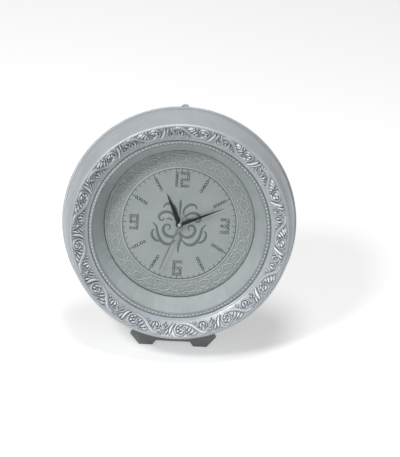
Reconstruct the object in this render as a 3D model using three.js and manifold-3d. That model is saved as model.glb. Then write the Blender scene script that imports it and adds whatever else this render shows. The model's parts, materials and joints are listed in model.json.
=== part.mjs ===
// A round deep-dished table clock with a carved silver border, a jewelled dial and a folding rear leg.
// Millimetres. The finished model stands on z = 0, faces -Y and leans back on its leg.
// Each piece is drawn in the head's own frame: x to the right, y up the dial, z out of the dial,
// with the origin on the dial's face at its centre.

import * as THREE from "three";
import { mergeVertices } from "three/addons/utils/BufferGeometryUtils.js";
import Module from "manifold-3d";

const wasm = await Module();
wasm.setup();

const degree = Math.PI / 180;
const fullTurn = 2 * Math.PI;

// Stance, and the hands' angles clockwise from twelve
const leanAngle = 16 * degree;
const hourHandAngle = 335.7 * degree;
const minuteHandAngle = 66.6 * degree;
const secondHandAngle = 201 * degree;

// Clearances and cutting
const seatGap = 0.3;
const runningGap = 0.3;
const overrun = 2;

// Front shell
const plateRadius = 150;
const rimDepth = 14;
const lipThickness = 4;
const lipStep = 2.4;
const rimWall = 4.6;
const shellWall = 2.6;
const skirtWidth = 8;
const shoulderWidth = 3.2;
const shoulderDrop = 1.8;
const ridgeHeight = 48;
const bedWidth = 17.8;
const bedDrop = 14.4;
const bedHollow = 1.2;
const bandWidth = 3.4;
const bandDrop = 0.8;
const bandDepth = 4.2;
const ledgeWidth = 4.2;
const panelLedgeWidth = 3.4;
const panelLedgeThickness = 2.4;
const bossRadius = 4.8;
const bossHeight = 17;

// Carved border on the shell's bed. A line's shares are of one repeat's length, of half the bed's
// width and of half the piece's width.
const scrollCount = 13;
const scrollBearing = 10 * degree;
const carvingRise = 2.6;
const carvingRoot = 1.5;
const stemWidth = 3.2;
const acanthusWidth = 4.4;
const leafWidth = 7;
const rosetteRadius = 2.8;
const rosetteSides = 5;
const spiralReachShare = 0.8;
const spiralEndShare = 0.36;
const spiralStart = -130 * degree;
const spiralSweep = 385 * degree;
const spiralSteps = 8;
const stemLeadShares = [[-0.56, 0.66, 0.8], [-0.46, 0.66, 1], [-0.35, 0.36, 1], [-0.24, -0.3, 1]];
const acanthusShares = [
  [0.04, -0.8, 0.3], [0.15, -0.62, 0.85], [0.23, -0.06, 1], [0.32, 0.5, 0.7], [0.46, 0.68, 0.6],
];
const leafShares = [[-0.36, 0.24, 0.2], [-0.44, 0.1, 0.9], [-0.52, -0.22, 0.95], [-0.585, -0.76, 0.1]];

// Reflector cone and the bead ring above it
const coneWidth = 13;
const coneFacets = 60;
const flangeThickness = 1.6;
const beadRadius = 1.55;
const beadRingWidth = 4.3;
const beadRingThickness = 1.6;

// Dial
const dialThickness = 2;
const dialLap = 2;
const outerBandWidth = 24;
const minuteRingWidth = 1.6;
const minuteRingRise = 0.5;

// Hour markers
const markerInset = 16;
const stoneRadius = 1.6;
const stoneHeight = 1.3;
const barPitch = 3.7;
const barStoneCount = 5;
const numeralPitch = 4.1;
const digitGap = 6.2;
const settingMargin = 0.35;
const settingThickness = 0.5;
const stoneSides = 5;

// Movement case
const caseSide = 56;
const caseDepth = 16;
const caseWall = 1.5;
const caseCorner = 4;
const washerThickness = 0.8;
const rubberRadius = 9;
const bushRadius = 3.5;
const bushBore = 2.9;
const bushLength = 7;
const brassRadius = 5;
const brassThickness = 0.4;
const nutAcross = 9;
const nutThickness = 1.9;
const bayWidth = 15;
const coverThickness = 1.7;

// Battery and its contacts
const batteryRadius = 7.1;
const batteryLength = 49.4;
const nubRadius = 2.6;
const nubLength = 1.2;
const contactThickness = 0.4;
const contactWidth = 11;
const contactDepth = 10;

// Hands
const hourHandLength = 43.5;
const hourHandWidth = 5.2;
const hourHubRadius = 4.3;
const minuteHandLength = 61.5;
const minuteHandWidth = 4.4;
const minuteHubRadius = 3.9;
const secondHandLength = 63.5;
const secondTailLength = 15;
const secondHandWidth = 1.5;
const secondHubRadius = 3.3;
const handThickness = 0.5;
const handSpacing = 1.7;
const handCollarHeight = 0.7;
const rootWidthShare = 0.42;
const bellyShare = 0.2;
const handTipShare = 0.1;
const tailFlareShare = 2.2;
const capShoulderShare = 0.7;

// Wheels
const hourPipeWall = 0.7;
const minutePipeWall = 0.65;
const arborRadius = 0.65;
const wheelThickness = 0.8;
const pinionThickness = 1.3;
const layerGap = 0.5;
const motionModule = 0.5;
const cannonTeeth = 10;
const minuteWheelTeeth = 30;
const minutePinionTeeth = 8;
const hourWheelTeeth = 32;
const knobPinionTeeth = 12;
const runModule = 0.46;
const rotorTeeth = 6;
const intermediateTeeth = 30;
const intermediatePinionTeeth = 6;
const secondWheelTeeth = 36;
const thirdModule = 0.38;
const secondPinionTeeth = 6;
const thirdWheelTeeth = 45;
const thirdPinionTeeth = 6;
const centreWheelTeeth = 48;
const toothTopShare = 0.8;
const toothRootShare = 1.1;
const tipWidthShare = 0.1;
const rootWidthToothShare = 0.27;
const openMeshGap = 0.6;
const magnetRadius = 3;
const magnetLength = 1.8;
const knobRadius = 6;
const knobThickness = 2.6;
const knobFlutes = 12;
const knobFluteDepth = 0.5;

// Where the movement's arbors stand round the centre arbor
const minuteWheelBearing = 30 * degree;
const knobBearing = 60 * degree;
const thirdWheelBearing = 165 * degree;
const intermediateBearing = 95 * degree;
const rotorBearing = 90 * degree;

// Motor and circuit
const statorThickness = 1;
const statorBore = 3.7;
const statorRing = 2.4;
const statorArmWidth = 2.4;
const statorLapWidth = 1.7;
const coilRadius = 2.4;
const coilLength = 15;
const coilCoreRadius = 0.9;
const coilCoreOverhang = 2;
const coilFlangeRadius = 2.9;
const coilFlangeThickness = 0.9;
const coilX = -21;
const boardWidth = 7.5;
const boardLength = 30;
const boardThickness = 1;
const boardPostRadius = 1.4;
const crystalRadius = 1;
const crystalLength = 6.5;

// Back panel and its screws
const panelThickness = 2.5;
const windowMargin = 1.5;
const panelScrewCount = 4;
const panelScrewBearing = 45 * degree;
const screwShankRadius = 1.3;
const screwHoleRadius = 1.65;
const screwHeadRadius = 2.9;
const screwHeadHeight = 1.5;
const panelScrewLength = 12;

// Foot
const footDrop = 16;
const footTipHalfWidth = 42;
const footRimHalfWidth = 56;
const footTopHalfWidth = 34;
const footLap = 38;
const footThickness = 2.7;
const footPadWidth = 14;
const footPadDepth = 9;
const footArchHeight = 6;

// Leg, its bracket and its pin
const hingeHeight = -44;
const hingeStandoff = 5;
const openAngle = 34 * degree;
const legThickness = 3;
const legTopWidth = 20;
const legFootWidth = 32;
const legBarrelRadius = 2.6;
const legRibWidth = 2.2;
const legRibHeight = 1.6;
const pinRadius = 1.2;
const pinHoleRadius = 1.5;
const pinHeadRadius = 2;
const pinHeadLength = 1;
const lugThickness = 3;
const lugRadius = 3.4;
const bracketThickness = 1.6;
const bracketHeight = 16;
const bracketWing = 8;

// Hanging tab
const tabWidth = 11;
const tabRise = 3.2;
const tabLength = 27;
const tabThickness = 1.2;
const tabEyeRadius = 2.6;
const tabEyeDrop = 14;
const nailHoleRadius = 3.4;

// Fineness of round forms
const plateSegments = 56;
const smallSegments = 8;
const boreSegments = 16;
const screwSides = 6;

// Radii worked out from the widths above, from the rim inwards
const skirtTopRadius = plateRadius - lipStep - skirtWidth;
const ridgeRadius = skirtTopRadius - shoulderWidth;
const bedInnerRadius = ridgeRadius - bedWidth;
const bandInnerRadius = bedInnerRadius - bandWidth;
const ledgeInnerRadius = bandInnerRadius - ledgeWidth;
const dialRadius = ledgeInnerRadius - coneWidth;
const dialWindowRadius = dialRadius - dialLap;
const minuteRingRadius = dialRadius - outerBandWidth;
const markerRadius = minuteRingRadius - markerInset;
const bossCircleRadius = plateRadius - rimWall - seatGap - bossRadius;

// The sheet that one repeat of the border is drawn on
const bedSlope = new THREE.Vector2(bedWidth, bedDrop).normalize();
const bedHalfWidth = Math.hypot(bedWidth, bedDrop) / 2;
const bedMiddleRadius = ridgeRadius - bedWidth / 2;
const bedMiddleHeight = ridgeHeight - bedDrop / 2;
const scrollPitch = (fullTurn * bedMiddleRadius) / scrollCount;

// Reaches along the dial from its centre
const footReach = plateRadius + footDrop;
const footTop = plateRadius - footLap;
const tabTop = plateRadius + tabRise;

// Levels worked out from the sizes above, in front of the dial's face
const bedInnerHeight = ridgeHeight - bedDrop;
const ledgeHeight = bedInnerHeight - bandDrop - bandDepth;
const rimBack = -rimDepth;
const panelFront = rimBack + panelThickness;
const panelLedgeBack = panelFront + seatGap;
const dialBack = -dialThickness;
const rubberFront = dialBack - seatGap;
const caseFront = rubberFront - washerThickness - seatGap;
const caseInside = caseFront - caseWall;
const caseBack = caseFront - caseDepth;
const coverFront = caseBack + coverThickness;
const brassFront = seatGap + brassThickness;
const nutFront = brassFront + seatGap + nutThickness;
const bushEnd = caseFront + bushLength;
const flangeBack = ledgeHeight + seatGap;
const flangeTop = flangeBack + flangeThickness;
const beadRingBack = flangeTop + seatGap;
const beadRingInner = bandInnerRadius - seatGap - beadRingWidth;

const hourPipeRadius = bushBore - runningGap;
const hourPipeBore = hourPipeRadius - hourPipeWall;
const minutePipeRadius = hourPipeBore - runningGap;
const minutePipeBore = minutePipeRadius - minutePipeWall;
const secondArborRadius = minutePipeBore - runningGap;

const hourHandBack = bushEnd + layerGap;
const minuteHandBack = hourHandBack + handSpacing;
const secondHandBack = minuteHandBack + handSpacing;

// Layers of the movement, counted back from the case's front wall
const hourWheelFront = caseInside - layerGap;
const minutePinionFront = hourWheelFront + (pinionThickness - wheelThickness) / 2;
const minuteWheelFront = minutePinionFront - pinionThickness;
const cannonFront = minuteWheelFront + (pinionThickness - wheelThickness) / 2;
const cannonBack = cannonFront - pinionThickness;
const centreWheelFront = cannonBack;
const centreWheelBack = centreWheelFront - wheelThickness;
const thirdPinionFront = centreWheelFront + (pinionThickness - wheelThickness) / 2;
const thirdWheelFront = thirdPinionFront - pinionThickness;
const secondPinionFront = centreWheelBack - layerGap;
const secondPinionBack = thirdWheelFront - wheelThickness - layerGap;
const secondWheelFront = secondPinionBack;
const intermediatePinionFront = secondWheelFront + (pinionThickness - wheelThickness) / 2;
const intermediateWheelFront = intermediatePinionFront - pinionThickness;
const rotorPinionFront = intermediateWheelFront + (pinionThickness - wheelThickness) / 2;
const magnetFront = rotorPinionFront - pinionThickness;

// Places of the arbors
const pitchRadius = (teeth, module) => (teeth * module) / 2;
const along = (distance, bearing) => new THREE.Vector2(
  distance * Math.cos(bearing),
  distance * Math.sin(bearing),
);
const motionDistance = pitchRadius(cannonTeeth + minuteWheelTeeth, motionModule);
const knobDistance = pitchRadius(minuteWheelTeeth + knobPinionTeeth, motionModule);
const secondDistance = pitchRadius(secondWheelTeeth + intermediatePinionTeeth, runModule);
const rotorDistance = pitchRadius(intermediateTeeth + rotorTeeth, runModule);
const thirdDistance = pitchRadius(secondPinionTeeth + thirdWheelTeeth, thirdModule);
const centreWheelModule = (2 * (thirdDistance - openMeshGap)) / (thirdPinionTeeth + centreWheelTeeth);
const centreAxis = new THREE.Vector2();
const minuteWheelAxis = along(motionDistance, minuteWheelBearing);
const knobAxis = minuteWheelAxis.clone().add(along(knobDistance, knobBearing));
const thirdAxis = along(thirdDistance, thirdWheelBearing);
const intermediateAxis = along(secondDistance, intermediateBearing);
const rotorAxis = intermediateAxis.clone().add(along(rotorDistance, rotorBearing));

// The head's place in the finished model
const floorRise = (reach, level) => reach * Math.cos(leanAngle) - level * Math.sin(leanAngle);
const headRise = floorRise(footReach, rimBack - seatGap);
const headMatrix = new THREE.Matrix4()
  .makeRotationX(Math.PI / 2 - leanAngle)
  .setPosition(0, 0, headRise);

// Materials
const paint = (color, roughness, metalness) => ({ color, roughness, metalness });
const silver = paint("#b4bcc2", 0.42, 0.55);
const paleSilver = paint("#c3c9cd", 0.36, 0.6);
const dialGrey = paint("#a9b0b3", 0.5, 0.35);
const crystalWhite = paint("#e4e8ec", 0.12, 0.2);
const handBlack = paint("#16181a", 0.4, 0.2);
const steel = paint("#b9bdc0", 0.3, 0.9);
const brass = paint("#c2a25a", 0.35, 0.9);
const blackPlastic = paint("#1f2123", 0.6, 0);
const whitePlastic = paint("#e2e3e0", 0.55, 0);
const greyPlastic = paint("#6a6c6a", 0.65, 0);
const fibreBoard = paint("#4a4d4e", 0.8, 0);
const copper = paint("#a8633a", 0.4, 0.8);
const boardGreen = paint("#2f6243", 0.6, 0);
const rubberBlack = paint("#191919", 0.9, 0);
const cellGreen = paint("#3c6f52", 0.45, 0.3);

// Solid helpers

function closed(geometry) {
  const bare = geometry.index ? geometry.toNonIndexed() : geometry.clone();
  bare.deleteAttribute("normal");
  bare.deleteAttribute("uv");
  return mergeVertices(bare, 1e-4);
}

function toSolid(geometry) {
  const merged = closed(geometry);
  const mesh = new wasm.Mesh({
    numProp: 3,
    vertProperties: new Float32Array(merged.attributes.position.array),
    triVerts: new Uint32Array(merged.index.array),
  });
  return new wasm.Manifold(mesh);
}

function toGeometry(solid) {
  const mesh = solid.getMesh();
  const geometry = new THREE.BufferGeometry();
  geometry.setAttribute("position", new THREE.BufferAttribute(mesh.vertProperties, mesh.numProp));
  geometry.setIndex(new THREE.BufferAttribute(mesh.triVerts, 1));
  return geometry;
}

function joined(geometries) {
  const solids = geometries.map(toSolid);
  return toGeometry(solids.reduce((sum, solid) => sum.add(solid)));
}

function cut(geometry, cutters) {
  const solids = cutters.map(toSolid);
  return toGeometry(solids.reduce((rest, solid) => rest.subtract(solid), toSolid(geometry)));
}

// Turns a closed profile of [radius, level] points about the z axis.
function revolved(profile, segments) {
  const points = profile.map(([radius, level]) => new THREE.Vector2(radius, level));
  const onAxis = points[0].x === 0 && points[points.length - 1].x === 0;
  if (!onAxis) {
    points.push(points[0].clone());
  }
  return new THREE.LatheGeometry(points, segments).rotateX(Math.PI / 2);
}

function disc(radius, back, front, segments = smallSegments) {
  return revolved([[0, back], [radius, back], [radius, front], [0, front]], segments);
}

function tube(outer, bore, back, front, segments = boreSegments) {
  return revolved([[bore, back], [outer, back], [outer, front], [bore, front]], segments);
}

function at(geometry, place) {
  return geometry.translate(place.x, place.y, 0);
}

function slab(shape, back, front) {
  const options = { depth: front - back, bevelEnabled: false, curveSegments: smallSegments };
  return new THREE.ExtrudeGeometry(shape, options).translate(0, 0, back);
}

function block(left, right, bottom, top, back, front) {
  return new THREE.BoxGeometry(right - left, top - bottom, front - back)
    .translate((left + right) / 2, (bottom + top) / 2, (back + front) / 2);
}

function outline(points) {
  return new THREE.Shape(points.map(([x, y]) => new THREE.Vector2(x, y)));
}

function roundHole(radius, x = 0, y = 0) {
  return new THREE.Path().absarc(x, y, radius, 0, fullTurn, true);
}

function roundedSquare(halfWidth, halfHeight, corner) {
  const shape = new THREE.Shape();
  shape.moveTo(halfWidth, -halfHeight + corner);
  shape.lineTo(halfWidth, halfHeight - corner);
  shape.absarc(halfWidth - corner, halfHeight - corner, corner, 0, Math.PI / 2);
  shape.absarc(corner - halfWidth, halfHeight - corner, corner, Math.PI / 2, Math.PI);
  shape.absarc(corner - halfWidth, corner - halfHeight, corner, Math.PI, Math.PI * 1.5);
  shape.absarc(halfWidth - corner, corner - halfHeight, corner, Math.PI * 1.5, fullTurn);
  return shape;
}

// Offsets an open line of [radius, level] points to its right by the wall's thickness.
function offsetLine(points, distance) {
  const normals = points.slice(1).map(([r, z], i) => {
    const run = new THREE.Vector2(r - points[i][0], z - points[i][1]).normalize();
    return new THREE.Vector2(run.y, -run.x);
  });
  return points.map(([r, z], i) => {
    const before = normals[Math.max(i - 1, 0)];
    const after = normals[Math.min(i, normals.length - 1)];
    const mitre = before.clone().add(after).normalize();
    const reach = distance / mitre.dot(after);
    return [r + mitre.x * reach, z + mitre.y * reach];
  });
}

function curvePoints(start, control, end, steps) {
  const curve = new THREE.QuadraticBezierCurve(
    new THREE.Vector2(...start),
    new THREE.Vector2(...control),
    new THREE.Vector2(...end),
  );
  return curve.getPoints(steps).map((point) => [point.x, point.y]);
}

// The part of a solid above the floor that the clock stands on.
function cutAtFloor(geometry) {
  const below = new THREE.BoxGeometry(2 * plateRadius, 2 * plateRadius, plateRadius)
    .translate(0, 0, -plateRadius / 2)
    .applyMatrix4(headMatrix.clone().invert());
  return cut(geometry, [below]);
}

// Front shell

function skirtLine(steps) {
  const foot = [plateRadius - lipStep, rimBack + lipThickness];
  const top = [skirtTopRadius, ridgeHeight - shoulderDrop];
  const control = [foot[0] - shellWall / 2, (foot[1] + 2 * top[1]) / 3];
  return curvePoints(foot, control, top, steps);
}

function bedLine(steps) {
  const outer = [ridgeRadius, ridgeHeight];
  const inner = [bedInnerRadius, bedInnerHeight];
  const control = [
    (outer[0] + inner[0]) / 2 + bedHollow,
    (outer[1] + inner[1]) / 2 - bedHollow,
  ];
  return curvePoints(outer, control, inner, steps);
}

function shellLine(skirtSteps, bedSteps) {
  return [
    ...skirtLine(skirtSteps),
    ...bedLine(bedSteps),
    [bandInnerRadius, bedInnerHeight - bandDrop],
    [bandInnerRadius, ledgeHeight],
    [ledgeInnerRadius, ledgeHeight],
  ];
}

function shellProfile() {
  const front = shellLine(3, 2);
  const back = offsetLine(shellLine(1, 1), -shellWall).slice(1).reverse();
  const rimInner = plateRadius - rimWall;
  const ledgeInner = rimInner - panelLedgeWidth;
  const ledgeFront = panelLedgeBack + panelLedgeThickness;
  return [
    [plateRadius, rimBack],
    [plateRadius, rimBack + lipThickness],
    ...front,
    ...back,
    [rimInner - shellWall / 2, ledgeFront],
    [ledgeInner, ledgeFront],
    [ledgeInner, panelLedgeBack],
    [rimInner, panelLedgeBack],
    [rimInner, rimBack],
  ];
}

function panelScrewPlaces() {
  return Array.from({ length: panelScrewCount }, (_, i) =>
    along(bossCircleRadius, panelScrewBearing + (i * fullTurn) / panelScrewCount));
}

// Carved border: x runs clockwise round the bed's middle, y out along its slope

function bedPlace(x, y, rise, bearing) {
  const radius = bedMiddleRadius + y * bedSlope.x - rise * bedSlope.y;
  const level = bedMiddleHeight + y * bedSlope.y + rise * bedSlope.x;
  const angle = bearing + x / bedMiddleRadius;
  return [radius * Math.sin(angle), radius * Math.cos(angle), level];
}

function meshOf(points, triangles) {
  const geometry = new THREE.BufferGeometry();
  geometry.setAttribute("position", new THREE.Float32BufferAttribute(points.flat(), 3));
  return geometry.setIndex(triangles.flat());
}

// A ridge with a sharp crown along a line of [x, y, half width], rooted in the bed.
function carvedRidge(line, bearing) {
  const last = line.length - 1;
  const points = line.flatMap(([x, y, half], i) => {
    const [fromX, fromY] = line[Math.max(i - 1, 0)];
    const [toX, toY] = line[Math.min(i + 1, last)];
    const side = new THREE.Vector2(fromY - toY, toX - fromX).setLength(half);
    const crown = i === 0 || i === last ? 0 : carvingRise;
    return [
      bedPlace(x + side.x, y + side.y, -carvingRoot, bearing),
      bedPlace(x - side.x, y - side.y, -carvingRoot, bearing),
      bedPlace(x, y, crown, bearing),
    ];
  });
  const triangles = [[0, 1, 2], [3 * last, 3 * last + 2, 3 * last + 1]];
  for (let i = 0; i < last; i += 1) {
    for (let k = 0; k < 3; k += 1) {
      const near = [3 * i + k, 3 * i + ((k + 1) % 3)];
      const far = near.map((index) => index + 3);
      triangles.push([near[0], far[0], far[1]], [near[0], far[1], near[1]]);
    }
  }
  return meshOf(points, triangles);
}

// A pointed bud at the spiral's heart.
function carvedRosette(bearing) {
  const points = Array.from({ length: rosetteSides }, (_, i) => {
    const place = along(rosetteRadius, (i * fullTurn) / rosetteSides);
    return bedPlace(place.x, place.y, -carvingRoot, bearing);
  });
  points.push(bedPlace(0, 0, carvingRise, bearing), bedPlace(0, 0, -carvingRoot, bearing));
  const triangles = Array.from({ length: rosetteSides }, (_, i) => [i, (i + 1) % rosetteSides]).flatMap(
    ([from, to]) => [[from, to, rosetteSides], [to, from, rosetteSides + 1]],
  );
  return meshOf(points, triangles);
}

function sheetLine(shares, width) {
  return shares.map(([x, y, half]) => [x * scrollPitch, y * bedHalfWidth, (half * width) / 2]);
}

// The stem comes in from the neighbouring leaf and winds into a spiral that tightens as it goes.
function scrollLine() {
  const spiral = Array.from({ length: spiralSteps }, (_, i) => {
    const wound = i / (spiralSteps - 1);
    const left = 1 - (1 - spiralEndShare) * wound ** 2;
    const place = along(bedHalfWidth * spiralReachShare * left, spiralStart + spiralSweep * wound);
    return [place.x, place.y, (left * stemWidth) / 2];
  });
  return [...sheetLine(stemLeadShares, stemWidth), ...spiral];
}

function borderRepeat(bearing) {
  return [
    carvedRidge(scrollLine(), bearing),
    carvedRidge(sheetLine(acanthusShares, acanthusWidth), bearing),
    carvedRidge(sheetLine(leafShares, leafWidth), bearing),
    carvedRosette(bearing),
  ];
}

function carvedBorder() {
  return Array.from({ length: scrollCount }, (_, i) =>
    borderRepeat(scrollBearing + (i * fullTurn) / scrollCount)).flat();
}

function frontShell() {
  const dish = revolved(shellProfile(), plateSegments);
  const bosses = panelScrewPlaces().map((place) =>
    at(disc(bossRadius, panelLedgeBack, panelLedgeBack + bossHeight, smallSegments), place));
  const holes = panelScrewPlaces().map((place) =>
    at(disc(screwHoleRadius, rimBack, rimBack + panelScrewLength + overrun), place));
  return cut(joined([dish, ...carvedBorder(), ...bosses]), holes);
}

// Reflector cone

function reflectorCone() {
  const flangeOuter = bandInnerRadius - seatGap;
  return revolved([
    [dialWindowRadius, seatGap],
    [dialRadius, seatGap],
    [beadRingInner, flangeBack],
    [flangeOuter, flangeBack],
    [flangeOuter, flangeTop],
    [beadRingInner, flangeTop],
  ], coneFacets);
}

// Bead ring

function beadRing() {
  const outer = bandInnerRadius - seatGap;
  const middle = (outer + beadRingInner) / 2;
  const base = beadRingBack + beadRingThickness;
  const crown = base + beadRadius;
  return revolved([
    [beadRingInner, beadRingBack],
    [outer, beadRingBack],
    [outer, base],
    [middle + beadRadius / 2, crown],
    [middle - beadRadius / 2, crown],
    [beadRingInner, base],
  ], plateSegments);
}

// Dial and its markers

function dial() {
  const ringInner = minuteRingRadius - minuteRingWidth / 2;
  const ringOuter = minuteRingRadius + minuteRingWidth / 2;
  const hole = bushRadius + seatGap;
  return revolved([
    [hole, dialBack],
    [dialRadius, dialBack],
    [dialRadius, 0],
    [ringOuter, 0],
    [minuteRingRadius, minuteRingRise],
    [ringInner, 0],
    [hole, 0],
  ], plateSegments);
}

const digitRows = {
  1: ["1", "1", "1", "1", "1"],
  2: ["111", "001", "111", "100", "111"],
  3: ["111", "001", "111", "001", "111"],
  6: ["111", "100", "111", "101", "111"],
  9: ["111", "101", "111", "001", "111"],
};
const middleRow = (digitRows[1].length - 1) / 2;

function stonesOf(rows, left) {
  return rows.flatMap((row, j) => [...row].flatMap((mark, i) => (
    mark === "1" ? [[left + i * numeralPitch, (middleRow - j) * numeralPitch]] : []
  )));
}

// The foil that carries a digit's stones: one strip for each row or column of two or more.
function foilsOf(rows, left) {
  const columns = [...rows[0]].map((_, i) => rows.map((row) => row[i]).join(""));
  const place = (i, j) => [left + i * numeralPitch, (middleRow - j) * numeralPitch];
  const strips = [];
  rows.forEach((row, j) => [...row.matchAll(/11+/g)].forEach((run) => {
    strips.push([place(run.index, j), place(run.index + run[0].length - 1, j)]);
  }));
  columns.forEach((column, i) => [...column.matchAll(/11+/g)].forEach((run) => {
    strips.push([place(i, run.index + run[0].length - 1), place(i, run.index)]);
  }));
  return strips.map(([low, high]) => foil(low[0], high[0], low[1], high[1]));
}

function foil(left, right, bottom, top) {
  const edge = stoneRadius + settingMargin;
  return block(left - edge, right + edge, bottom - edge, top + edge, 0, settingThickness);
}

function gem([x, y]) {
  return new THREE.ConeGeometry(stoneRadius, stoneHeight, stoneSides)
    .rotateX(Math.PI / 2)
    .translate(x, y, settingThickness + stoneHeight / 2 - settingMargin / 2);
}

function numeralMarker(hour) {
  const digits = hour === 12
    ? [[1, -digitGap], [2, digitGap - 2 * numeralPitch + numeralPitch / 2]]
    : [[hour, -numeralPitch]];
  const foils = digits.flatMap(([digit, left]) => foilsOf(digitRows[digit], left));
  const gems = digits.flatMap(([digit, left]) => stonesOf(digitRows[digit], left).map(gem));
  const bridge = block(-digitGap, digitGap, -stoneRadius / 2, stoneRadius / 2, 0, settingThickness);
  return joined([...foils, ...(hour === 12 ? [bridge] : []), ...gems]);
}

function barMarker(hour) {
  const stones = Array.from({ length: barStoneCount }, (_, i) => [
    (i - (barStoneCount - 1) / 2) * barPitch,
    0,
  ]);
  const half = stones[barStoneCount - 1][0];
  return joined([foil(-half, half, 0, 0), ...stones.map(gem)]).rotateZ(markerBearing(hour));
}

function marker(hour) {
  return hour % 3 === 0 ? numeralMarker(hour) : barMarker(hour);
}

function markerBearing(hour) {
  return Math.PI / 2 - (hour * fullTurn) / 12;
}

function markerPlace(hour) {
  return along(markerRadius, markerBearing(hour));
}

// Hands, drawn pointing up

function handBlade(length, width) {
  const root = (width * rootWidthShare) / 2;
  const tip = (width * handTipShare) / 2;
  const belly = length * bellyShare;
  return outline([
    [-root, 0],
    [root, 0],
    [width / 2, belly],
    [tip, length],
    [-tip, length],
    [-width / 2, belly],
  ]);
}

function pressedHand(length, width, hub, bore, back) {
  const blade = slab(handBlade(length, width), back, back + handThickness);
  const collar = disc(hub, back, back + handCollarHeight, boreSegments);
  const hole = disc(bore + seatGap / 3, back - overrun, back + handCollarHeight + overrun, boreSegments);
  return cut(joined([blade, collar]), [hole]);
}

function hourHand() {
  return pressedHand(hourHandLength, hourHandWidth, hourHubRadius, hourPipeRadius, hourHandBack);
}

function minuteHand() {
  return pressedHand(minuteHandLength, minuteHandWidth, minuteHubRadius, minutePipeRadius, minuteHandBack);
}

function secondHand() {
  const half = secondHandWidth / 2;
  const blade = outline([
    [-half * tailFlareShare, -secondTailLength],
    [half * tailFlareShare, -secondTailLength],
    [half, 0],
    [half / 2, secondHandLength],
    [-half / 2, secondHandLength],
    [-half, 0],
  ]);
  const cap = [
    [0, secondHandBack],
    [secondHubRadius, secondHandBack],
    [secondHubRadius, secondHandBack + handThickness],
    [secondHubRadius * capShoulderShare, secondHandBack + handThickness + handCollarHeight],
    [0, secondHandBack + handThickness + 2 * handCollarHeight],
  ];
  const socket = disc(secondArborRadius + seatGap / 3, secondHandBack - overrun, secondHandBack + handThickness);
  const bladeSolid = slab(blade, secondHandBack, secondHandBack + handThickness);
  return cut(joined([bladeSolid, revolved(cap, boreSegments)]), [socket]);
}

// Toothed wheels

function gearOutline(teeth, module, turn, corners) {
  const pitch = pitchRadius(teeth, module);
  const tip = pitch + toothTopShare * module;
  const root = pitch - toothRootShare * module;
  const step = fullTurn / teeth;
  const points = Array.from({ length: teeth }, (_, i) => corners.map(([raised, share]) => {
    const point = along(raised ? tip : root, turn + (i + share) * step);
    return [point.x, point.y];
  }));
  return outline(points.flat());
}

// The turn that sets a wheel's space on its neighbour's tooth, seen along the line between them.
function meshedTurn(turn, teeth, direction, otherTeeth) {
  const phase = ((direction - turn) * teeth) / fullTurn;
  return direction + Math.PI - ((0.5 - phase) * fullTurn) / otherTeeth;
}

function wheel(teeth, module, turn, front) {
  const corners = [[false, -0.5], [true, 0]];
  return slab(gearOutline(teeth, module, turn, corners), front - wheelThickness, front);
}

function pinion(teeth, module, turn, front, thickness = pinionThickness) {
  const corners = [
    [false, -rootWidthToothShare],
    [true, -tipWidthShare],
    [true, tipWidthShare],
    [false, rootWidthToothShare],
  ];
  return slab(gearOutline(teeth, module, turn, corners), front - thickness, front);
}

function hourWheel() {
  const turn = meshedTurn(0, minutePinionTeeth, minuteWheelBearing + Math.PI, hourWheelTeeth);
  const toothed = wheel(hourWheelTeeth, motionModule, turn, hourWheelFront);
  const pipe = disc(hourPipeRadius, hourWheelFront - wheelThickness, hourHandBack + handThickness, boreSegments);
  const bore = disc(hourPipeBore, caseBack, hourHandBack + handThickness + overrun, boreSegments);
  return cut(joined([toothed, pipe]), [bore]);
}

function centreWheel() {
  const cannon = pinion(cannonTeeth, motionModule, 0, cannonFront);
  const driven = wheel(centreWheelTeeth, centreWheelModule, 0, centreWheelFront);
  const pipe = disc(minutePipeRadius, centreWheelBack, minuteHandBack + handThickness, boreSegments);
  const bore = disc(minutePipeBore, caseBack, minuteHandBack + handThickness + overrun, boreSegments);
  return cut(joined([pipe, cannon, driven]), [bore]);
}

// An arbor of its own with a bearing in the front wall and one in the cover.
function arbor(front = caseFront - seatGap, back = caseBack + seatGap) {
  return disc(arborRadius, back, front);
}

function minuteWheel() {
  const turn = meshedTurn(0, cannonTeeth, minuteWheelBearing, minuteWheelTeeth);
  const driven = wheel(minuteWheelTeeth, motionModule, turn, minuteWheelFront);
  const driver = pinion(minutePinionTeeth, motionModule, 0, minutePinionFront);
  return joined([arbor(), driven, driver]);
}

function settingKnob() {
  const minuteTurn = meshedTurn(0, cannonTeeth, minuteWheelBearing, minuteWheelTeeth);
  const turn = meshedTurn(minuteTurn, minuteWheelTeeth, knobBearing, knobPinionTeeth);
  const pinionFront = minuteWheelFront + (pinionThickness - wheelThickness) / 2;
  const driver = pinion(knobPinionTeeth, motionModule, turn, pinionFront);
  const flutes = outline(Array.from({ length: 2 * knobFlutes }, (_, i) => {
    const radius = knobRadius - (i % 2) * knobFluteDepth;
    const point = along(radius, (i * Math.PI) / knobFlutes);
    return [point.x, point.y];
  }));
  const knobFront = caseBack - layerGap;
  const knob = slab(flutes, knobFront - knobThickness, knobFront);
  return joined([arbor(caseFront - seatGap, knobFront), driver, knob]);
}

function thirdWheel() {
  const turn = meshedTurn(0, secondPinionTeeth, thirdWheelBearing, thirdWheelTeeth);
  const driven = wheel(thirdWheelTeeth, thirdModule, turn, thirdWheelFront);
  const driver = pinion(thirdPinionTeeth, centreWheelModule, 0, thirdPinionFront);
  return joined([arbor(), driven, driver]);
}

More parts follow.
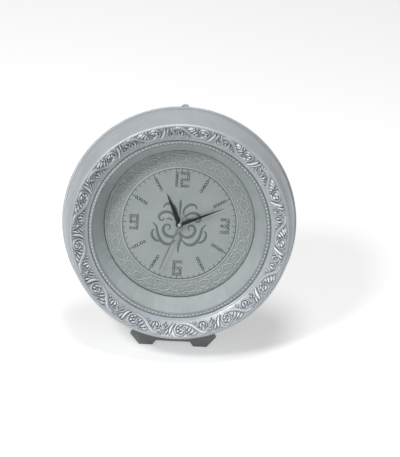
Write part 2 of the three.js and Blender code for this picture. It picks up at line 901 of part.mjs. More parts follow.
function secondWheel() {
  const turn = meshedTurn(0, intermediatePinionTeeth, intermediateBearing + Math.PI, secondWheelTeeth);
  const driven = wheel(secondWheelTeeth, runModule, turn, secondWheelFront);
  const length = secondPinionFront - secondPinionBack;
  const driver = pinion(secondPinionTeeth, thirdModule, 0, secondPinionFront, length);
  const staff = disc(secondArborRadius, caseBack + seatGap, secondHandBack + handThickness - seatGap);
  return joined([staff, driven, driver]);
}

function intermediateWheel() {
  const turn = meshedTurn(0, rotorTeeth, rotorBearing + Math.PI, intermediateTeeth);
  const driven = wheel(intermediateTeeth, runModule, turn, intermediateWheelFront);
  const driver = pinion(intermediatePinionTeeth, runModule, 0, intermediatePinionFront);
  return joined([arbor(), driven, driver]);
}

function rotor() {
  const driver = pinion(rotorTeeth, runModule, 0, rotorPinionFront);
  const magnet = disc(magnetRadius, magnetFront - magnetLength, magnetFront, boreSegments);
  return joined([arbor(), driver, magnet]);
}

// Movement case, cover and fixings

const bayFloor = -caseSide / 2 + caseWall;
const bayTop = bayFloor + bayWidth;
const gearBottom = bayTop + caseWall;
const wallInner = caseSide / 2 - caseWall;
const boardLeft = wallInner - seatGap - boardWidth;
const boardBottom = gearBottom + caseWall;
const boardFront = secondWheelFront;

function bearingHoles(back, front, axes) {
  return axes.map((axis) => at(disc(arborRadius + runningGap, back, front), axis));
}

function movementCase() {
  const half = caseSide / 2;
  const body = slab(roundedSquare(half, half, caseCorner), caseBack, caseFront);
  const bush = disc(bushRadius, caseInside, bushEnd, boreSegments);
  const gearRoom = block(-wallInner, wallInner, gearBottom, wallInner, caseBack - overrun, caseInside);
  const bay = block(-wallInner, wallInner, bayFloor, bayTop, caseBack - overrun, caseInside + caseWall / 3);
  const bore = disc(bushBore, caseBack, bushEnd + overrun, boreSegments);
  const arbors = [minuteWheelAxis, knobAxis, thirdAxis, intermediateAxis, rotorAxis];
  const holes = bearingHoles(caseInside - overrun, caseFront + overrun, arbors);
  const hollow = cut(body, [gearRoom, bay]);
  return cut(joined([hollow, bush, ...boardPosts()]), [bore, ...holes]);
}

function boardPosts() {
  const x = boardLeft + boardWidth / 2;
  const ends = [boardBottom + boardPostRadius, boardBottom + boardLength - boardPostRadius];
  return ends.map((y) => disc(boardPostRadius, boardFront + seatGap, caseInside + caseWall / 2, smallSegments)
    .translate(x, y, 0));
}

function movementCover() {
  const plate = block(
    -wallInner + seatGap,
    wallInner - seatGap,
    gearBottom + seatGap,
    wallInner - seatGap,
    caseBack,
    coverFront,
  );
  const arbors = [centreAxis, minuteWheelAxis, knobAxis, thirdAxis, intermediateAxis, rotorAxis];
  return cut(plate, bearingHoles(caseBack - overrun, coverFront + overrun, arbors));
}

function rubberWasher() {
  return tube(rubberRadius, bushRadius + seatGap, rubberFront - washerThickness, rubberFront);
}

function brassWasher() {
  return tube(brassRadius, bushRadius + seatGap, seatGap, brassFront);
}

function fixingNut() {
  const corner = nutAcross / 2 / Math.cos(Math.PI / 6);
  const hexagon = revolved([
    [0, brassFront + seatGap],
    [corner, brassFront + seatGap],
    [corner, nutFront],
    [0, nutFront],
  ], 6);
  return cut(hexagon, [disc(bushRadius + seatGap, 0, nutFront + overrun, boreSegments)]);
}

// Motor and circuit

const statorFront = magnetFront - (magnetLength - statorThickness) / 2;
const coilMiddle = rotorAxis.y - statorRing;
const coilBottom = coilMiddle - coilLength / 2;
const coilTop = coilMiddle + coilLength / 2;
const coilLevel = statorFront + seatGap + coilCoreRadius;

function stator() {
  const left = coilX - statorArmWidth / 2;
  const reach = statorBore + statorRing;
  const upperTop = coilTop + coilCoreOverhang;
  const upperBottom = upperTop - statorLapWidth;
  const lowerBottom = coilBottom - coilCoreOverhang;
  const lowerTop = lowerBottom + statorLapWidth;
  const legRight = thirdAxis.x - arborRadius - 2 * runningGap;
  const legLeft = coilX + coilFlangeRadius + seatGap;
  const plate = outline([
    [left, upperTop],
    [left, upperBottom],
    [legLeft, upperBottom],
    [legLeft, lowerTop],
    [left, lowerTop],
    [left, lowerBottom],
    [legRight, lowerBottom],
    [legRight, rotorAxis.y - reach],
    [rotorAxis.x + reach, rotorAxis.y - reach],
    [rotorAxis.x + reach, upperTop],
  ]);
  plate.holes.push(roundHole(statorBore, rotorAxis.x, rotorAxis.y));
  return slab(plate, statorFront - statorThickness, statorFront);
}

function coil() {
  const inner = coilLength / 2 - coilFlangeThickness;
  const half = coilLength / 2;
  const end = half + coilCoreOverhang - seatGap;
  const bobbin = revolved([
    [0, -end],
    [coilCoreRadius, -end],
    [coilCoreRadius, -half],
    [coilFlangeRadius, -half],
    [coilFlangeRadius, -inner],
    [coilRadius, -inner],
    [coilRadius, inner],
    [coilFlangeRadius, inner],
    [coilFlangeRadius, half],
    [coilCoreRadius, half],
    [coilCoreRadius, end],
    [0, end],
  ], smallSegments);
  return bobbin.rotateX(Math.PI / 2).translate(coilX, coilMiddle, coilLevel);
}

function circuitBoard() {
  const board = block(
    boardLeft,
    boardLeft + boardWidth,
    boardBottom,
    boardBottom + boardLength,
    boardFront - boardThickness,
    boardFront,
  );
  const chipSide = boardWidth / 2;
  const chipX = boardLeft + boardWidth / 2;
  const chipY = boardBottom + boardLength / 2;
  const chip = block(
    chipX - chipSide / 2,
    chipX + chipSide / 2,
    chipY - chipSide / 2,
    chipY + chipSide / 2,
    boardFront - 2 * boardThickness,
    boardFront - boardThickness / 2,
  );
  return joined([board, chip]);
}

function quartzCrystal() {
  return disc(crystalRadius, -crystalLength / 2, crystalLength / 2, smallSegments)
    .rotateX(Math.PI / 2)
    .translate(
      boardLeft + boardWidth / 2,
      boardBottom + boardLength - boardPostRadius - crystalLength,
      boardFront - boardThickness - seatGap - crystalRadius,
    );
}

// Battery

const batteryY = (bayFloor + bayTop) / 2;
const batteryLevel = caseInside + caseWall / 3 - seatGap - batteryRadius;

function battery() {
  const half = batteryLength / 2;
  return revolved([
    [0, -half],
    [batteryRadius, -half],
    [batteryRadius, half],
    [nubRadius, half],
    [nubRadius, half + nubLength],
    [0, half + nubLength],
  ], boreSegments)
    .rotateY(Math.PI / 2)
    .translate(-nubLength / 2, batteryY, batteryLevel);
}

function batteryContact(side) {
  const outer = wallInner - seatGap;
  const inner = outer - contactThickness;
  const [left, right] = side > 0 ? [inner, outer] : [-outer, -inner];
  return block(
    left,
    right,
    batteryY - contactWidth / 2,
    batteryY + contactWidth / 2,
    batteryLevel - contactDepth / 2,
    batteryLevel + contactDepth / 2,
  );
}

// Back panel and what is screwed to it

const panelRadius = plateRadius - rimWall - seatGap;
const rearFront = rimBack - seatGap;

const bracketHalf = legTopWidth / 2 + seatGap + lugThickness;

function backPanel() {
  const window = caseSide / 2 + windowMargin;
  const body = disc(panelRadius, rimBack, panelFront, plateSegments);
  const opening = slab(roundedSquare(window, window, caseCorner), rimBack - overrun, panelFront + overrun);
  const holes = panelScrewPlaces().map((place) =>
    at(disc(screwHoleRadius, rimBack - overrun, panelFront + overrun), place));
  const nailHole = disc(nailHoleRadius, rimBack - overrun, panelFront + overrun)
    .translate(0, tabTop - tabEyeDrop, 0);
  return cut(body, [opening, nailHole, ...holes]);
}

// A pan-headed screw whose head bears on the level given.
function screw(seat, length) {
  return revolved([
    [0, seat - seatGap - screwHeadHeight],
    [screwHeadRadius / 2, seat - seatGap - screwHeadHeight],
    [screwHeadRadius, seat - seatGap - screwHeadHeight / 2],
    [screwHeadRadius, seat - seatGap],
    [screwShankRadius, seat - seatGap],
    [screwShankRadius, seat + length],
    [0, seat + length],
  ], screwSides);
}

function standFoot() {
  const back = rearFront - footThickness;
  const plate = outline([
    [-footTipHalfWidth, -footReach - overrun],
    [-footTipHalfWidth + footPadWidth, -footReach - overrun],
    [-footTipHalfWidth + footPadWidth + footArchHeight, -footReach + footArchHeight],
    [footTipHalfWidth - footPadWidth - footArchHeight, -footReach + footArchHeight],
    [footTipHalfWidth - footPadWidth, -footReach - overrun],
    [footTipHalfWidth, -footReach - overrun],
    [footRimHalfWidth, -(footReach + plateRadius) / 2 + footArchHeight],
    [footTopHalfWidth, -footTop],
    [-footTopHalfWidth, -footTop],
    [-footRimHalfWidth, -(footReach + plateRadius) / 2 + footArchHeight],
  ]);
  const pads = [-1, 1].map((side) => {
    const outer = side * footTipHalfWidth;
    const inner = side * (footTipHalfWidth - footPadWidth);
    return block(
      Math.min(outer, inner),
      Math.max(outer, inner),
      -footReach - overrun,
      -footReach + 2 * footArchHeight,
      rearFront - footPadDepth,
      rearFront,
    );
  });
  return cutAtFloor(joined([slab(plate, back, rearFront), ...pads]));
}

const pinLevel = rearFront - bracketThickness - hingeStandoff;

function hingeBracket() {
  const halfHeight = bracketHeight / 2;
  const wing = bracketHalf + bracketWing;
  const base = block(
    -wing,
    wing,
    hingeHeight - halfHeight,
    hingeHeight + halfHeight,
    rearFront - bracketThickness,
    rearFront,
  );
  const lugs = [-1, 1].map((side) => {
    const outer = side * bracketHalf;
    const inner = side * (bracketHalf - lugThickness);
    const left = Math.min(outer, inner);
    const ear = disc(lugRadius, 0, lugThickness, smallSegments)
      .rotateY(Math.PI / 2)
      .translate(left, hingeHeight, pinLevel);
    const web = block(
      left,
      left + lugThickness,
      hingeHeight - lugRadius,
      hingeHeight + lugRadius,
      pinLevel,
      rearFront - bracketThickness / 2,
    );
    return joined([ear, web]);
  });
  const bore = disc(pinRadius + seatGap / 3, -wing, wing, smallSegments)
    .rotateY(Math.PI / 2)
    .translate(0, hingeHeight, pinLevel);
  return cut(joined([base, ...lugs]), [bore]);
}

function hingePin() {
  const half = bracketHalf + seatGap;
  return revolved([
    [0, -half - pinHeadLength],
    [pinHeadRadius, -half - pinHeadLength],
    [pinHeadRadius, -half],
    [pinRadius, -half],
    [pinRadius, half],
    [0, half],
  ], smallSegments)
    .rotateY(Math.PI / 2)
    .translate(0, hingeHeight, pinLevel);
}

// The leg is drawn hanging from its pin along -y, then swung open.
const pinHeight = headRise + hingeHeight * Math.cos(leanAngle) + pinLevel * Math.sin(leanAngle);
const legLength = pinHeight / Math.cos(openAngle - leanAngle);

function propLeg() {
  const long = legLength + 2 * legThickness;
  const top = legTopWidth / 2;
  const foot = legFootWidth / 2;
  const plate = outline([[-top, 0], [-foot, -long], [foot, -long], [top, 0]]);
  const blade = slab(plate, -legThickness / 2, legThickness / 2);
  const ribTop = -2 * legBarrelRadius;
  const ribs = [-1, 1].map((side) => slab(
    outline([
      [side * top, ribTop],
      [side * foot, -long],
      [side * (foot - legRibWidth), -long],
      [side * (top - legRibWidth), ribTop],
    ]),
    -legThickness / 2 - legRibHeight,
    0,
  ));
  const barrel = disc(legBarrelRadius, -top, top, smallSegments).rotateY(Math.PI / 2);
  const bore = disc(pinHoleRadius, -foot, foot, smallSegments).rotateY(Math.PI / 2);
  const drawn = cut(joined([blade, barrel, ...ribs]), [bore]);
  return cutAtFloor(drawn.rotateX(openAngle).translate(0, hingeHeight, pinLevel));
}

function hangingTab() {
  const half = tabWidth / 2;
  const shape = new THREE.Shape();
  shape.moveTo(-half, tabTop - tabLength);
  shape.lineTo(half, tabTop - tabLength);
  shape.lineTo(half, tabTop - half);
  shape.absarc(0, tabTop - half, half, 0, Math.PI);
  shape.holes.push(roundHole(tabEyeRadius, 0, tabTop - tabEyeDrop));
  return slab(shape, rearFront - tabThickness, rearFront);
}

// Assembly

const model = new THREE.Group();
const head = new THREE.Group();
head.applyMatrix4(headMatrix);
model.add(head);

function add(name, geometry, finish) {
  const mesh = new THREE.Mesh(closed(geometry), new THREE.MeshStandardMaterial(finish));
  mesh.name = name;
  head.add(mesh);
  return mesh;
}

function addAt(name, geometry, finish, place, turn = 0) {
  const mesh = add(name, geometry, finish);
  mesh.position.set(place.x, place.y, 0);
  mesh.rotation.z = turn;
  return mesh;
}

add("front_shell", frontShell(), silver);
add("reflector_cone", reflectorCone(), silver);
add("bead_ring", beadRing(), paleSilver);
add("dial", dial(), dialGrey);
for (let hour = 1; hour <= 12; hour += 1) {
  const place = markerPlace(hour);
  const mesh = addAt(`marker_${hour}`, marker(hour), crystalWhite, place);
  mesh.position.z = seatGap;
}

addAt("hour_hand", hourHand(), handBlack, centreAxis, -hourHandAngle);
addAt("minute_hand", minuteHand(), handBlack, centreAxis, -minuteHandAngle);
addAt("second_hand", secondHand(), steel, centreAxis, -secondHandAngle);

add("movement_case", movementCase(), blackPlastic);
add("movement_cover", movementCover(), blackPlastic);
add("rubber_washer", rubberWasher(), rubberBlack);
add("brass_washer", brassWasher(), brass);
add("fixing_nut", fixingNut(), brass);

addAt("hour_wheel", hourWheel(), whitePlastic, centreAxis);
addAt("centre_wheel", centreWheel(), whitePlastic, centreAxis);
addAt("second_wheel", secondWheel(), brass, centreAxis);
addAt("minute_wheel", minuteWheel(), whitePlastic, minuteWheelAxis);
addAt("third_wheel", thirdWheel(), whitePlastic, thirdAxis);
addAt("intermediate_wheel", intermediateWheel(), whitePlastic, intermediateAxis);
addAt("rotor", rotor(), steel, rotorAxis);
addAt("setting_knob", settingKnob(), whitePlastic, knobAxis);

add("stator", stator(), steel);
add("coil", coil(), copper);
add("circuit_board", circuitBoard(), boardGreen);
add("quartz_crystal", quartzCrystal(), steel);
add("battery", battery(), cellGreen);
add("battery_contact_plus", batteryContact(1), steel);
add("battery_contact_minus", batteryContact(-1), steel);

add("back_panel", backPanel(), fibreBoard);
panelScrewPlaces().forEach((place, i) => {
  addAt(`panel_screw_${i + 1}`, screw(rimBack, panelScrewLength), steel, place);
});
add("stand_foot", standFoot(), greyPlastic);
add("hinge_bracket", hingeBracket(), greyPlastic);
add("hinge_pin", hingePin(), steel);
add("prop_leg", propLeg(), greyPlastic);
add("hanging_tab", hangingTab(), steel);

// The model's middle stands over the origin
model.updateMatrixWorld(true);
const box = new THREE.Box3().setFromObject(model, true);
model.position.x = -(box.min.x + box.max.x) / 2;
model.position.y = -(box.min.y + box.max.y) / 2;

export default model;
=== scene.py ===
import json
import math

import bpy
import numpy as np
from mathutils import Matrix, Vector


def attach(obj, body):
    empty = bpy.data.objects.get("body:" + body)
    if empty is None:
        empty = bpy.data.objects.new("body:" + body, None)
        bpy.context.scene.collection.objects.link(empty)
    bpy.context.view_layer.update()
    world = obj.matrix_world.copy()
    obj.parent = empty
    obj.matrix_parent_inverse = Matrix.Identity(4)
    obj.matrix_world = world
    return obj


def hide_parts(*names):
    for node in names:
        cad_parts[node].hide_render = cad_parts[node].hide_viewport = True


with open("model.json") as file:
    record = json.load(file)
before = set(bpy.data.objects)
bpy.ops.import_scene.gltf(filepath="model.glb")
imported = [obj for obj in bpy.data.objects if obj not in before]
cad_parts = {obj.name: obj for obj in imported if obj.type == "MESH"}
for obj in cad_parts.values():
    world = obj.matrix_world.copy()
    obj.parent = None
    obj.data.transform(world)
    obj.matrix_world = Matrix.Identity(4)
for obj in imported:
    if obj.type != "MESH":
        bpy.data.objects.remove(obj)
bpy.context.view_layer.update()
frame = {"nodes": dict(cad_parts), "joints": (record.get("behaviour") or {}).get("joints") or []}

# A round deep-dished table clock, dressed for the camera.
# Sizes are in millimetres in the head's own frame: x to the right, y up the dial, z out of it,
# with the origin on the dial's face at its centre. to_world turns them into metres.

MM = 0.001
FULL_TURN = 2 * math.pi
JOINTS = {joint["name"]: joint for joint in frame["joints"]}
CENTRE = Vector(JOINTS["second_spin"]["pos_m"])
RIGHT = Vector((1, 0, 0))
OUT = Vector(JOINTS["second_spin"]["axis"]).normalized()
UP = OUT.cross(RIGHT)
LEAN = math.asin(OUT.z)
HEAD_AXES = np.array([RIGHT, UP, OUT])

# Segments round the large pieces, the turned fittings and the small ones
SHELL_SEGMENTS = 360
TURNED_SEGMENTS = 48
SMALL_SEGMENTS = 40

# Front shell: corners are (radius, level)
SHELL_RIM = [(149.5, -14.0), (150.0, -13.5)]
LIP_MIDDLE = (149.1, -10.9)
LIP_ROUND = 0.9
LIP_STEPS = 5
LIP_CREASE = (147.9, -10.0)
SKIRT_FOOT = (147.6, -10.0)
SKIRT_MIDDLE = (146.1, 27.4)
SKIRT_TOP = (140.15, 43.4)
SKIRT_STEPS = 26
SHOULDER = (139.2, 47.6)
SHOULDER_STEPS = 10
RIDGE = (136.2, 47.75)
BED_LINE = (10.9, 8.0, 0.0, -8.0, -11.0)
BED_INNER = (118.6, 33.6)
PLAIN_BAND = [(116.3, 33.0), (116.1, 32.8), (115.65, 32.1), (115.2, 31.3)]
LEDGE = [(115.2, 28.6), (111.0, 28.6), (111.0, 26.0), (117.6, 26.0)]
SHELL_BACK = [(120.1, 30.4), (134.7, 43.95), (137.55, 39.4), (145.4, -10.0), (145.4, -14.0)]
GROOVE_RADIUS = 116.2
# Painted shade and patina: a little over the carving's bed and plain band, more over the step down to the
# bead ring
GROOVE_SHADE_AND_PATINA = 0.25
BED_SHADE_AND_PATINA = 0.12

# Carved border: its repeats round the bed, its skin and its levels
BORDER_REPEATS = 13
BORDER_START = math.radians(10.5)
BORDER_RADIUS = 127.5
BORDER_COLUMNS = 150
BORDER_ROWS = 64
BORDER_HOLLOW = 0.85
BORDER_SKIN = 1.2
BORDER_FADE = 0.7
CARVING_SQUEEZE = 0.88
CARVING_SHIFT = 1.3
FRONT_LIMIT = 83.6

# Painted shade and patina of a relief: how far it looks round, its strength and its least share.
# Painted highlight and rubbing of a relief: the heights where it starts and ends, and its strength
BORDER_SHADE_AND_PATINA = (9, 0.5, 0.1)
BORDER_HIGHLIGHT_AND_RUB = (1.7, 3.2, 0.8)

# Cone: rows of radius, level and painted shade behind it, and of painted shade at shares of its slope: full
# at its foot by the dial, some under the beads
CONE_FACETS = 48
CONE_FOOT = (96.0, 0.3)
CONE_TOP = (110.6, 30.5)
CONE_BACK = [(98.0, 0.3, 1), (110.6, 28.9, 0), (114.9, 28.9, 0), (114.9, 30.5, 0)]
CONE_SLOPE = [(1, 0.35), (0.952055, 0.35), (0.932055, 0), (0.062, 0), (0.05, 1), (0, 1)]
# Each facet's painted reflection comes from a share stepped and swayed round the cone
FACET_STEP = 0.618
FACET_SWAY = 0.12
FACET_SWAY_RATE = 1.7

# Bead ring
BEAD_COUNT = 148
BEAD_CIRCLE = 112.75
BEAD_RADIUS = 1.25
BEAD_LEVEL = 32.4
BEAD_CUT = 0.35
BEAD_TOP = 1.25
BEAD_SIDES = 14
BEAD_RINGS = 7
BEAD_BED = [
    (115.1, 30.8), (115.1, 32.2), (114.85, 32.4), (114.6, 31.9), (111.2, 31.9), (110.95, 32.4),
    (110.7, 32.2), (110.7, 30.8),
]
# Painted shade and patina in the bed between the pearls, and painted highlight and rubbing on the pearls
BEAD_BED_SHADE_AND_PATINA = 0.55
BEAD_HIGHLIGHT_AND_RUB = 0.25

# Dial: rows of radius, level, painted shade with patina, and painted highlight with rubbing for the field
# with its minute ring, and for the edge, which is painted in full shade
DIAL_RADIUS = 98.0
DIAL_FIELD = [
    (3.8, -2, 0, 0), (3.8, 0, 0, 0), (7.8, 0, 0, 0), (36, 0, 0, 0), (66, 0, 0, 0), (71.4, 0, 0, 0),
    (71.8, 0, 0, 0), (72.02, -0.3, 0.9, 0), (73.01, -0.3, 0.9, 0), (73.23, 0.4, 0, 0.6),
    (74, 0.5, 0, 0.6), (74.77, 0.4, 0, 0.6), (75.1, -0.35, 0, 0),
]
DIAL_EDGE = [(DIAL_RADIUS, -0.3, 1, 0), (DIAL_RADIUS, -2, 1, 0)]

# Embossed band
BAND_RADII = (75.3, 96.4)
BAND_FADE_IN = (75.0, 76.0)
BAND_FADE_OUT = (95.2, 96.2)
BAND_RELIEF = 0.7
BAND_SINK = 0.4
BAND_SHADE_AND_PATINA = (6, 1.3, 0.1)
BAND_HIGHLIGHT_AND_RUB = (0.4, 0.95, 0.6)
BAND_EDGE_SHADOW_ROWS = 3
BAND_REPEATS = 15
BAND_COLUMNS = 112
BAND_ROWS = 58

# Vine in the band: its cell, its stem and the small leaves that fill the ground.
# Levels are a stroke's crown, its vein's depth and the vein's width
VINE_LENGTH = FULL_TURN * 85.0 / BAND_REPEATS
VINE_RANGE = (-10.6, 11.6)
VINE_SWING = 4.6
VINE_HALF_WIDTH = 0.95
VINE_POINTS = 15
VINE_LEVELS = (1.0, 0.2)
SCROLL_CROWN = 0.95
VINE_LEAF_LEVELS = (0.9, 0.2, 0.3)
ROSETTE = (0.6, -1.0)
ROSETTE_RADIUS = 1.35
ROSETTE_TURN = 0.4
ROSETTE_PETALS = 4
PETAL_RADIUS = 0.9
ROSETTE_CROWN = 0.85
FILL_SEED = 19
FILL_COUNT = 46
FILL_RANGE = (-9.6, 9.0)
FILL_BEND = 1.2
FILL_REACH = 2.0
FILL_TIP = 0.3
FILL_HALF_WIDTH = 0.9
FILL_LEVELS = (0.7, 0.1)

# Inlay: the floral middle, the minute strokes and the stems of the bars that stand free
RIBBON_SHARES = (-1, -0.7, 0, 0.7, 1)
RIBBON_LIFT = 0.02
RIBBON_ROOT = 0.3
INLAY_SPREAD = 1.4
INLAY_RISE = 0.3
INLAY_STEP = 0.8
MIDDLE_STEM = 4.0
STEM_HOURS = (4, 5, 7, 8)
STEM_PLACES = (67.6, 69.8, 72.0)
STEM_HALF_WIDTH = 0.6

# Minute strokes: their outer end, and the reach and half width of each kind
TICK_END = 72.0
TICK = (3.0, 0.5)
HOUR_TICK = (4.2, 0.62)
TICK_RISE = 0.2

# Markers: stones on five rows in each digit, or five in a bar
MARKER_RADIUS = 58.0
STONE_PITCH = 4.1
BAR_PITCH = 3.7
BAR_STONES = 5
MIDDLE_STONE = 2
DIGIT_ROWS = {
    1: ["1", "1", "1", "1", "1"],
    2: ["111", "001", "111", "100", "111"],
    3: ["111", "001", "111", "001", "111"],
    6: ["111", "100", "111", "101", "111"],
    9: ["111", "101", "111", "001", "111"],
}
NUMERALS = {12: [(1, -6.2), (2, 0.05)], 3: [(3, -4.1)], 6: [(6, -4.1)], 9: [(9, -4.1)]}
GEM_RINGS = [(1.16, 0), (1.24, 0.28), (0.98, 0.74), (0.6, 0.96)]
GEM_SIDES = 8
GEM_SEAT = 0.32
GEM_TURN = 0.37
CUP_PROFILE = [
    (0, 0.3), (1.28, 0.3), (1.34, 0.62), (1.66, 0.74), (1.84, 0.5), (1.84, 0), (0, 0),
]
CUP_SEGMENTS = 14
CLAW_COUNT = 4
CLAW_CIRCLE = 1.3
CLAW_PROFILE = [(0, 1.0), (0.2, 0.92), (0.26, 0.5), (0, 0.4)]
CLAW_SEGMENTS = 5

# Hands: blades are (y, half width) from the tail to the tip
HOUR_ANGLE = math.radians(335.7)
MINUTE_ANGLE = math.radians(66.6)
SECOND_ANGLE = math.radians(201.0)
HOUR_BLADE = [
    (-0.5, 1.4), (3.0, 2.2), (7.4, 3.0), (14, 2.55), (24, 1.75), (34, 0.98), (41, 0.42), (43.5, 0.12),
]
MINUTE_BLADE = [
    (-0.5, 1.2), (3.0, 1.8), (7.4, 2.3), (18, 1.9), (32, 1.35), (46, 0.8), (57.5, 0.36), (61.5, 0.1),
]
SECOND_BLADE = [
    (-15, 1.6), (-12.5, 2.0), (-6, 1.45), (0, 1.15), (20, 0.92), (44, 0.66), (63.5, 0.42),
]

# Hubs: the level of the back, the radius and the rise
HOUR_HUB = (4.1, 4.3, 0.95)
MINUTE_HUB = (5.8, 3.9, 0.95)
SECOND_HUB = (7.5, 2.2, 0.6)
HUB_FACE = 0.82
HUB_BEVEL = 0.2

# A blade's section: its wall, and shares of it and of the half width
BLADE_WALL = 0.5
BLADE_EDGE = 0.72
BLADE_RIDGE = 0.12
BLADE_FLANK = (0.45, 0.95)

# The cap over the hands: (radius, level)
CAP_PROFILE = [
    (0.0, 9.36), (0.30126, 9.34089), (0.77134, 9.28902), (1.21282, 9.19305), (1.60933, 9.05656),
    (1.94618, 8.88460), (2.21085, 8.68355), (2.39356, 8.46086), (2.48751, 8.22479),
    (2.5, 7.95), (2.5, 7.7), (0.0, 7.7),
]

# Rear fittings, in the rear's frame: x to the right as seen from behind, z backwards
# A screw is the level of its seat, its radius and its rise
COVER_FACE = 19.4
PANEL_SCREW = (14.3, 2.9, 1.5)
PANEL_SCREW_CIRCLE = 140.3
PANEL_SCREW_TURN = (0.4, 0.9)
BRACKET_SCREW = (15.9, 1.9, 1.0)
FOOT_SCREW = (17.0, 2.3, 1.2)
TAB_SCREW = (15.5, 2.2, 1.1)
COVER_SCREW = (COVER_FACE, 1.3, 0.5)
TAB_SCREW_PLACE = (0.0, 130.4)
TAB_SCREW_TURN = 0.5
COVER_SCREW_PLACE = (24.4, 23.6)
CROSS_ARM = 0.6
CROSS_HALF = 0.17
CROSS_FLOOR = 0.8

# A screw head's steps, as shares of its radius and of its rise, and the levels of its cross
SCREW_STEPS = [(0.66, 0.98), (0.86, 0.8), (0.98, 0.4), (1, 0.15), (1, 0)]
CROSS_LEVELS = (0.35, 0.98)

# Screws of the stand on both sides: place, kind, turn, and which way the turn goes with the side
STAND_SCREWS = [
    (17.2, -39.5, BRACKET_SCREW, 0.3, 1),
    (17.2, -48.5, BRACKET_SCREW, 1.1, 1),
    (26.5, -119.0, FOOT_SCREW, 0.7, -1),
    (38.5, -133.0, FOOT_SCREW, 0.2, -1),
]
TAB_EYE = (0.0, 139.2)
TAB_RIM = [(3.8, 15.5), (3.8, 15.9), (3.5, 16.1), (3.0, 16.1), (2.7, 15.9), (2.7, 15.5)]
KNOB_FACE = 22.5
KNOB_PLACE = (-13.91, 14.09)
KNOB_GRIP = [
    (0, 0.15), (1.4, 0.17), (2.8, 0.3), (3.8, 0.62), (4.4, 0.75), (4.9, 0.66), (5.1, 0.4), (5.1, 0),
    (0, 0),
]
KNOB_LINE = (1.015, 2.03, 3.045)
KNOB_LINE_HALF_WIDTH = 0.34
KNOB_LINE_RISE = 0.25
KNOB_LINE_SEAT = 0.3
MARK_RISE = 0.22
ARROW_RADIUS = 8.4
ARROW_START = 0.35
ARROW_SWEEP = 1.25
ARROW_STEPS = 12
ARROW_HALF_WIDTH = 0.32
BARB_RADII = (7.1, 9.7)
BARB_ANGLES = (0.06, -0.05, -0.17)
SIGNS = [
    [(-22.6, -6.4), (-21.0, -6.4), (-19.4, -6.4)],
    [(-21.0, -8.0), (-21.0, -6.4), (-21.0, -4.8)],
    [(19.4, -6.4), (21.0, -6.4), (22.6, -6.4)],
]
SIGN_HALF_WIDTH = 0.4

# The cell's middle, and its profiles of (place along x, radius)
CELL_MIDDLE = (-19.0, 11.8)
CELL_JACKET = [
    (-24.0, 5.9), (-24.5, 6.3), (-24.7, 6.8), (-24.45, 7.1), (23.1, 7.1), (23.8, 6.9),
    (24.1, 6.4), (23.8, 5.9),
]
CELL_CAN = [
    (-24.9, 0), (-24.9, 5.2), (-24.4, 5.6), (-24.3, 6.1), (23.5, 6.1), (23.8, 5.3), (23.9, 3.0),
    (24.1, 2.6), (25.0, 2.5), (25.1, 2.2), (25.1, 0),
]


def to_world(points):
    return np.array(CENTRE) + MM * (np.asarray(points, float) @ HEAD_AXES)


# Mesh helpers

def finish_piece(obj, body, material, replaced=(), sharp=40):
    mesh = obj.data
    mesh.validate()
    mesh.shade_smooth()
    mesh.set_sharp_from_angle(angle=math.radians(sharp))
    mesh.materials.clear()
    mesh.materials.append(material)
    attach(obj, body)
    if replaced:
        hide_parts(*replaced)
    return obj


def add_object(name, data):
    obj = bpy.data.objects.new(name, data)
    bpy.context.scene.collection.objects.link(obj)
    return obj


def new_object(name, points, faces):
    mesh = bpy.data.meshes.new(name)
    mesh.from_pydata(to_world(points).tolist(), [], faces)
    return add_object(name, mesh)


def set_shares(obj, name, values, domain="POINT"):
    """Numbers from 0 to 1 that a material reads at each point or face."""
    attribute = obj.data.attributes.new(name, "FLOAT", domain)
    attribute.data.foreach_set("value", np.clip(values, 0, 1).astype(np.float32))


def set_painted_light_and_patina(obj, shade_and_patina=None, highlight_and_rub=None):
    """How much painted shade and patina lies at each point, and how much painted highlight and rubbing
    lightens each raised point.
    """
    bare = np.zeros(len(obj.data.vertices))
    set_shares(obj, "shade_and_patina", bare if shade_and_patina is None else shade_and_patina)
    set_shares(obj, "highlight_and_rub", bare if highlight_and_rub is None else highlight_and_rub)


def grid_faces(rows, columns, wrap_rows=False):
    """Faces of a grid of closed rows, whose points run along a row first."""
    faces = []
    for i in range(rows if wrap_rows else rows - 1):
        low = i * columns
        high = ((i + 1) % rows) * columns
        for j in range(columns):
            k = (j + 1) % columns
            faces.append((low + j, low + k, high + k, high + j))
    return faces


def end_faces(rows, columns):
    """The two faces that close a grid of closed rows."""
    last = (rows - 1) * columns
    return [tuple(reversed(range(columns))), tuple(range(last, last + columns))]


def round_row(radius, level, angle):
    """Points round the dial's axis, one for each angle."""
    places = radius * np.sin(angle), radius * np.cos(angle), level
    return np.stack(np.broadcast_arrays(*places), -1)


def lathe_parts(profile, segments):
    """Points and faces of a profile of (radius, level) turned about the z axis.

    A profile whose ends lie on the axis closes there to points, and any other closes on itself.
    """
    angles = np.arange(segments) * FULL_TURN / segments
    open_profile = [p for p in profile if p[0] > 0]
    points = [
        (r * math.sin(a), r * math.cos(a), z)
        for r, z in open_profile
        for a in angles
    ]
    on_axis = profile[0][0] == 0
    faces = grid_faces(len(open_profile), segments, wrap_rows=not on_axis)
    if on_axis:
        for row, level in ((0, profile[0][1]), (len(open_profile) - 1, profile[-1][1])):
            points.append((0.0, 0.0, level))
            tip = len(points) - 1
            base = row * segments
            ring = [(base + j, base + (j + 1) % segments) for j in range(segments)]
            faces += [(a, tip, b) if row else (tip, a, b) for a, b in ring]
    return points, faces


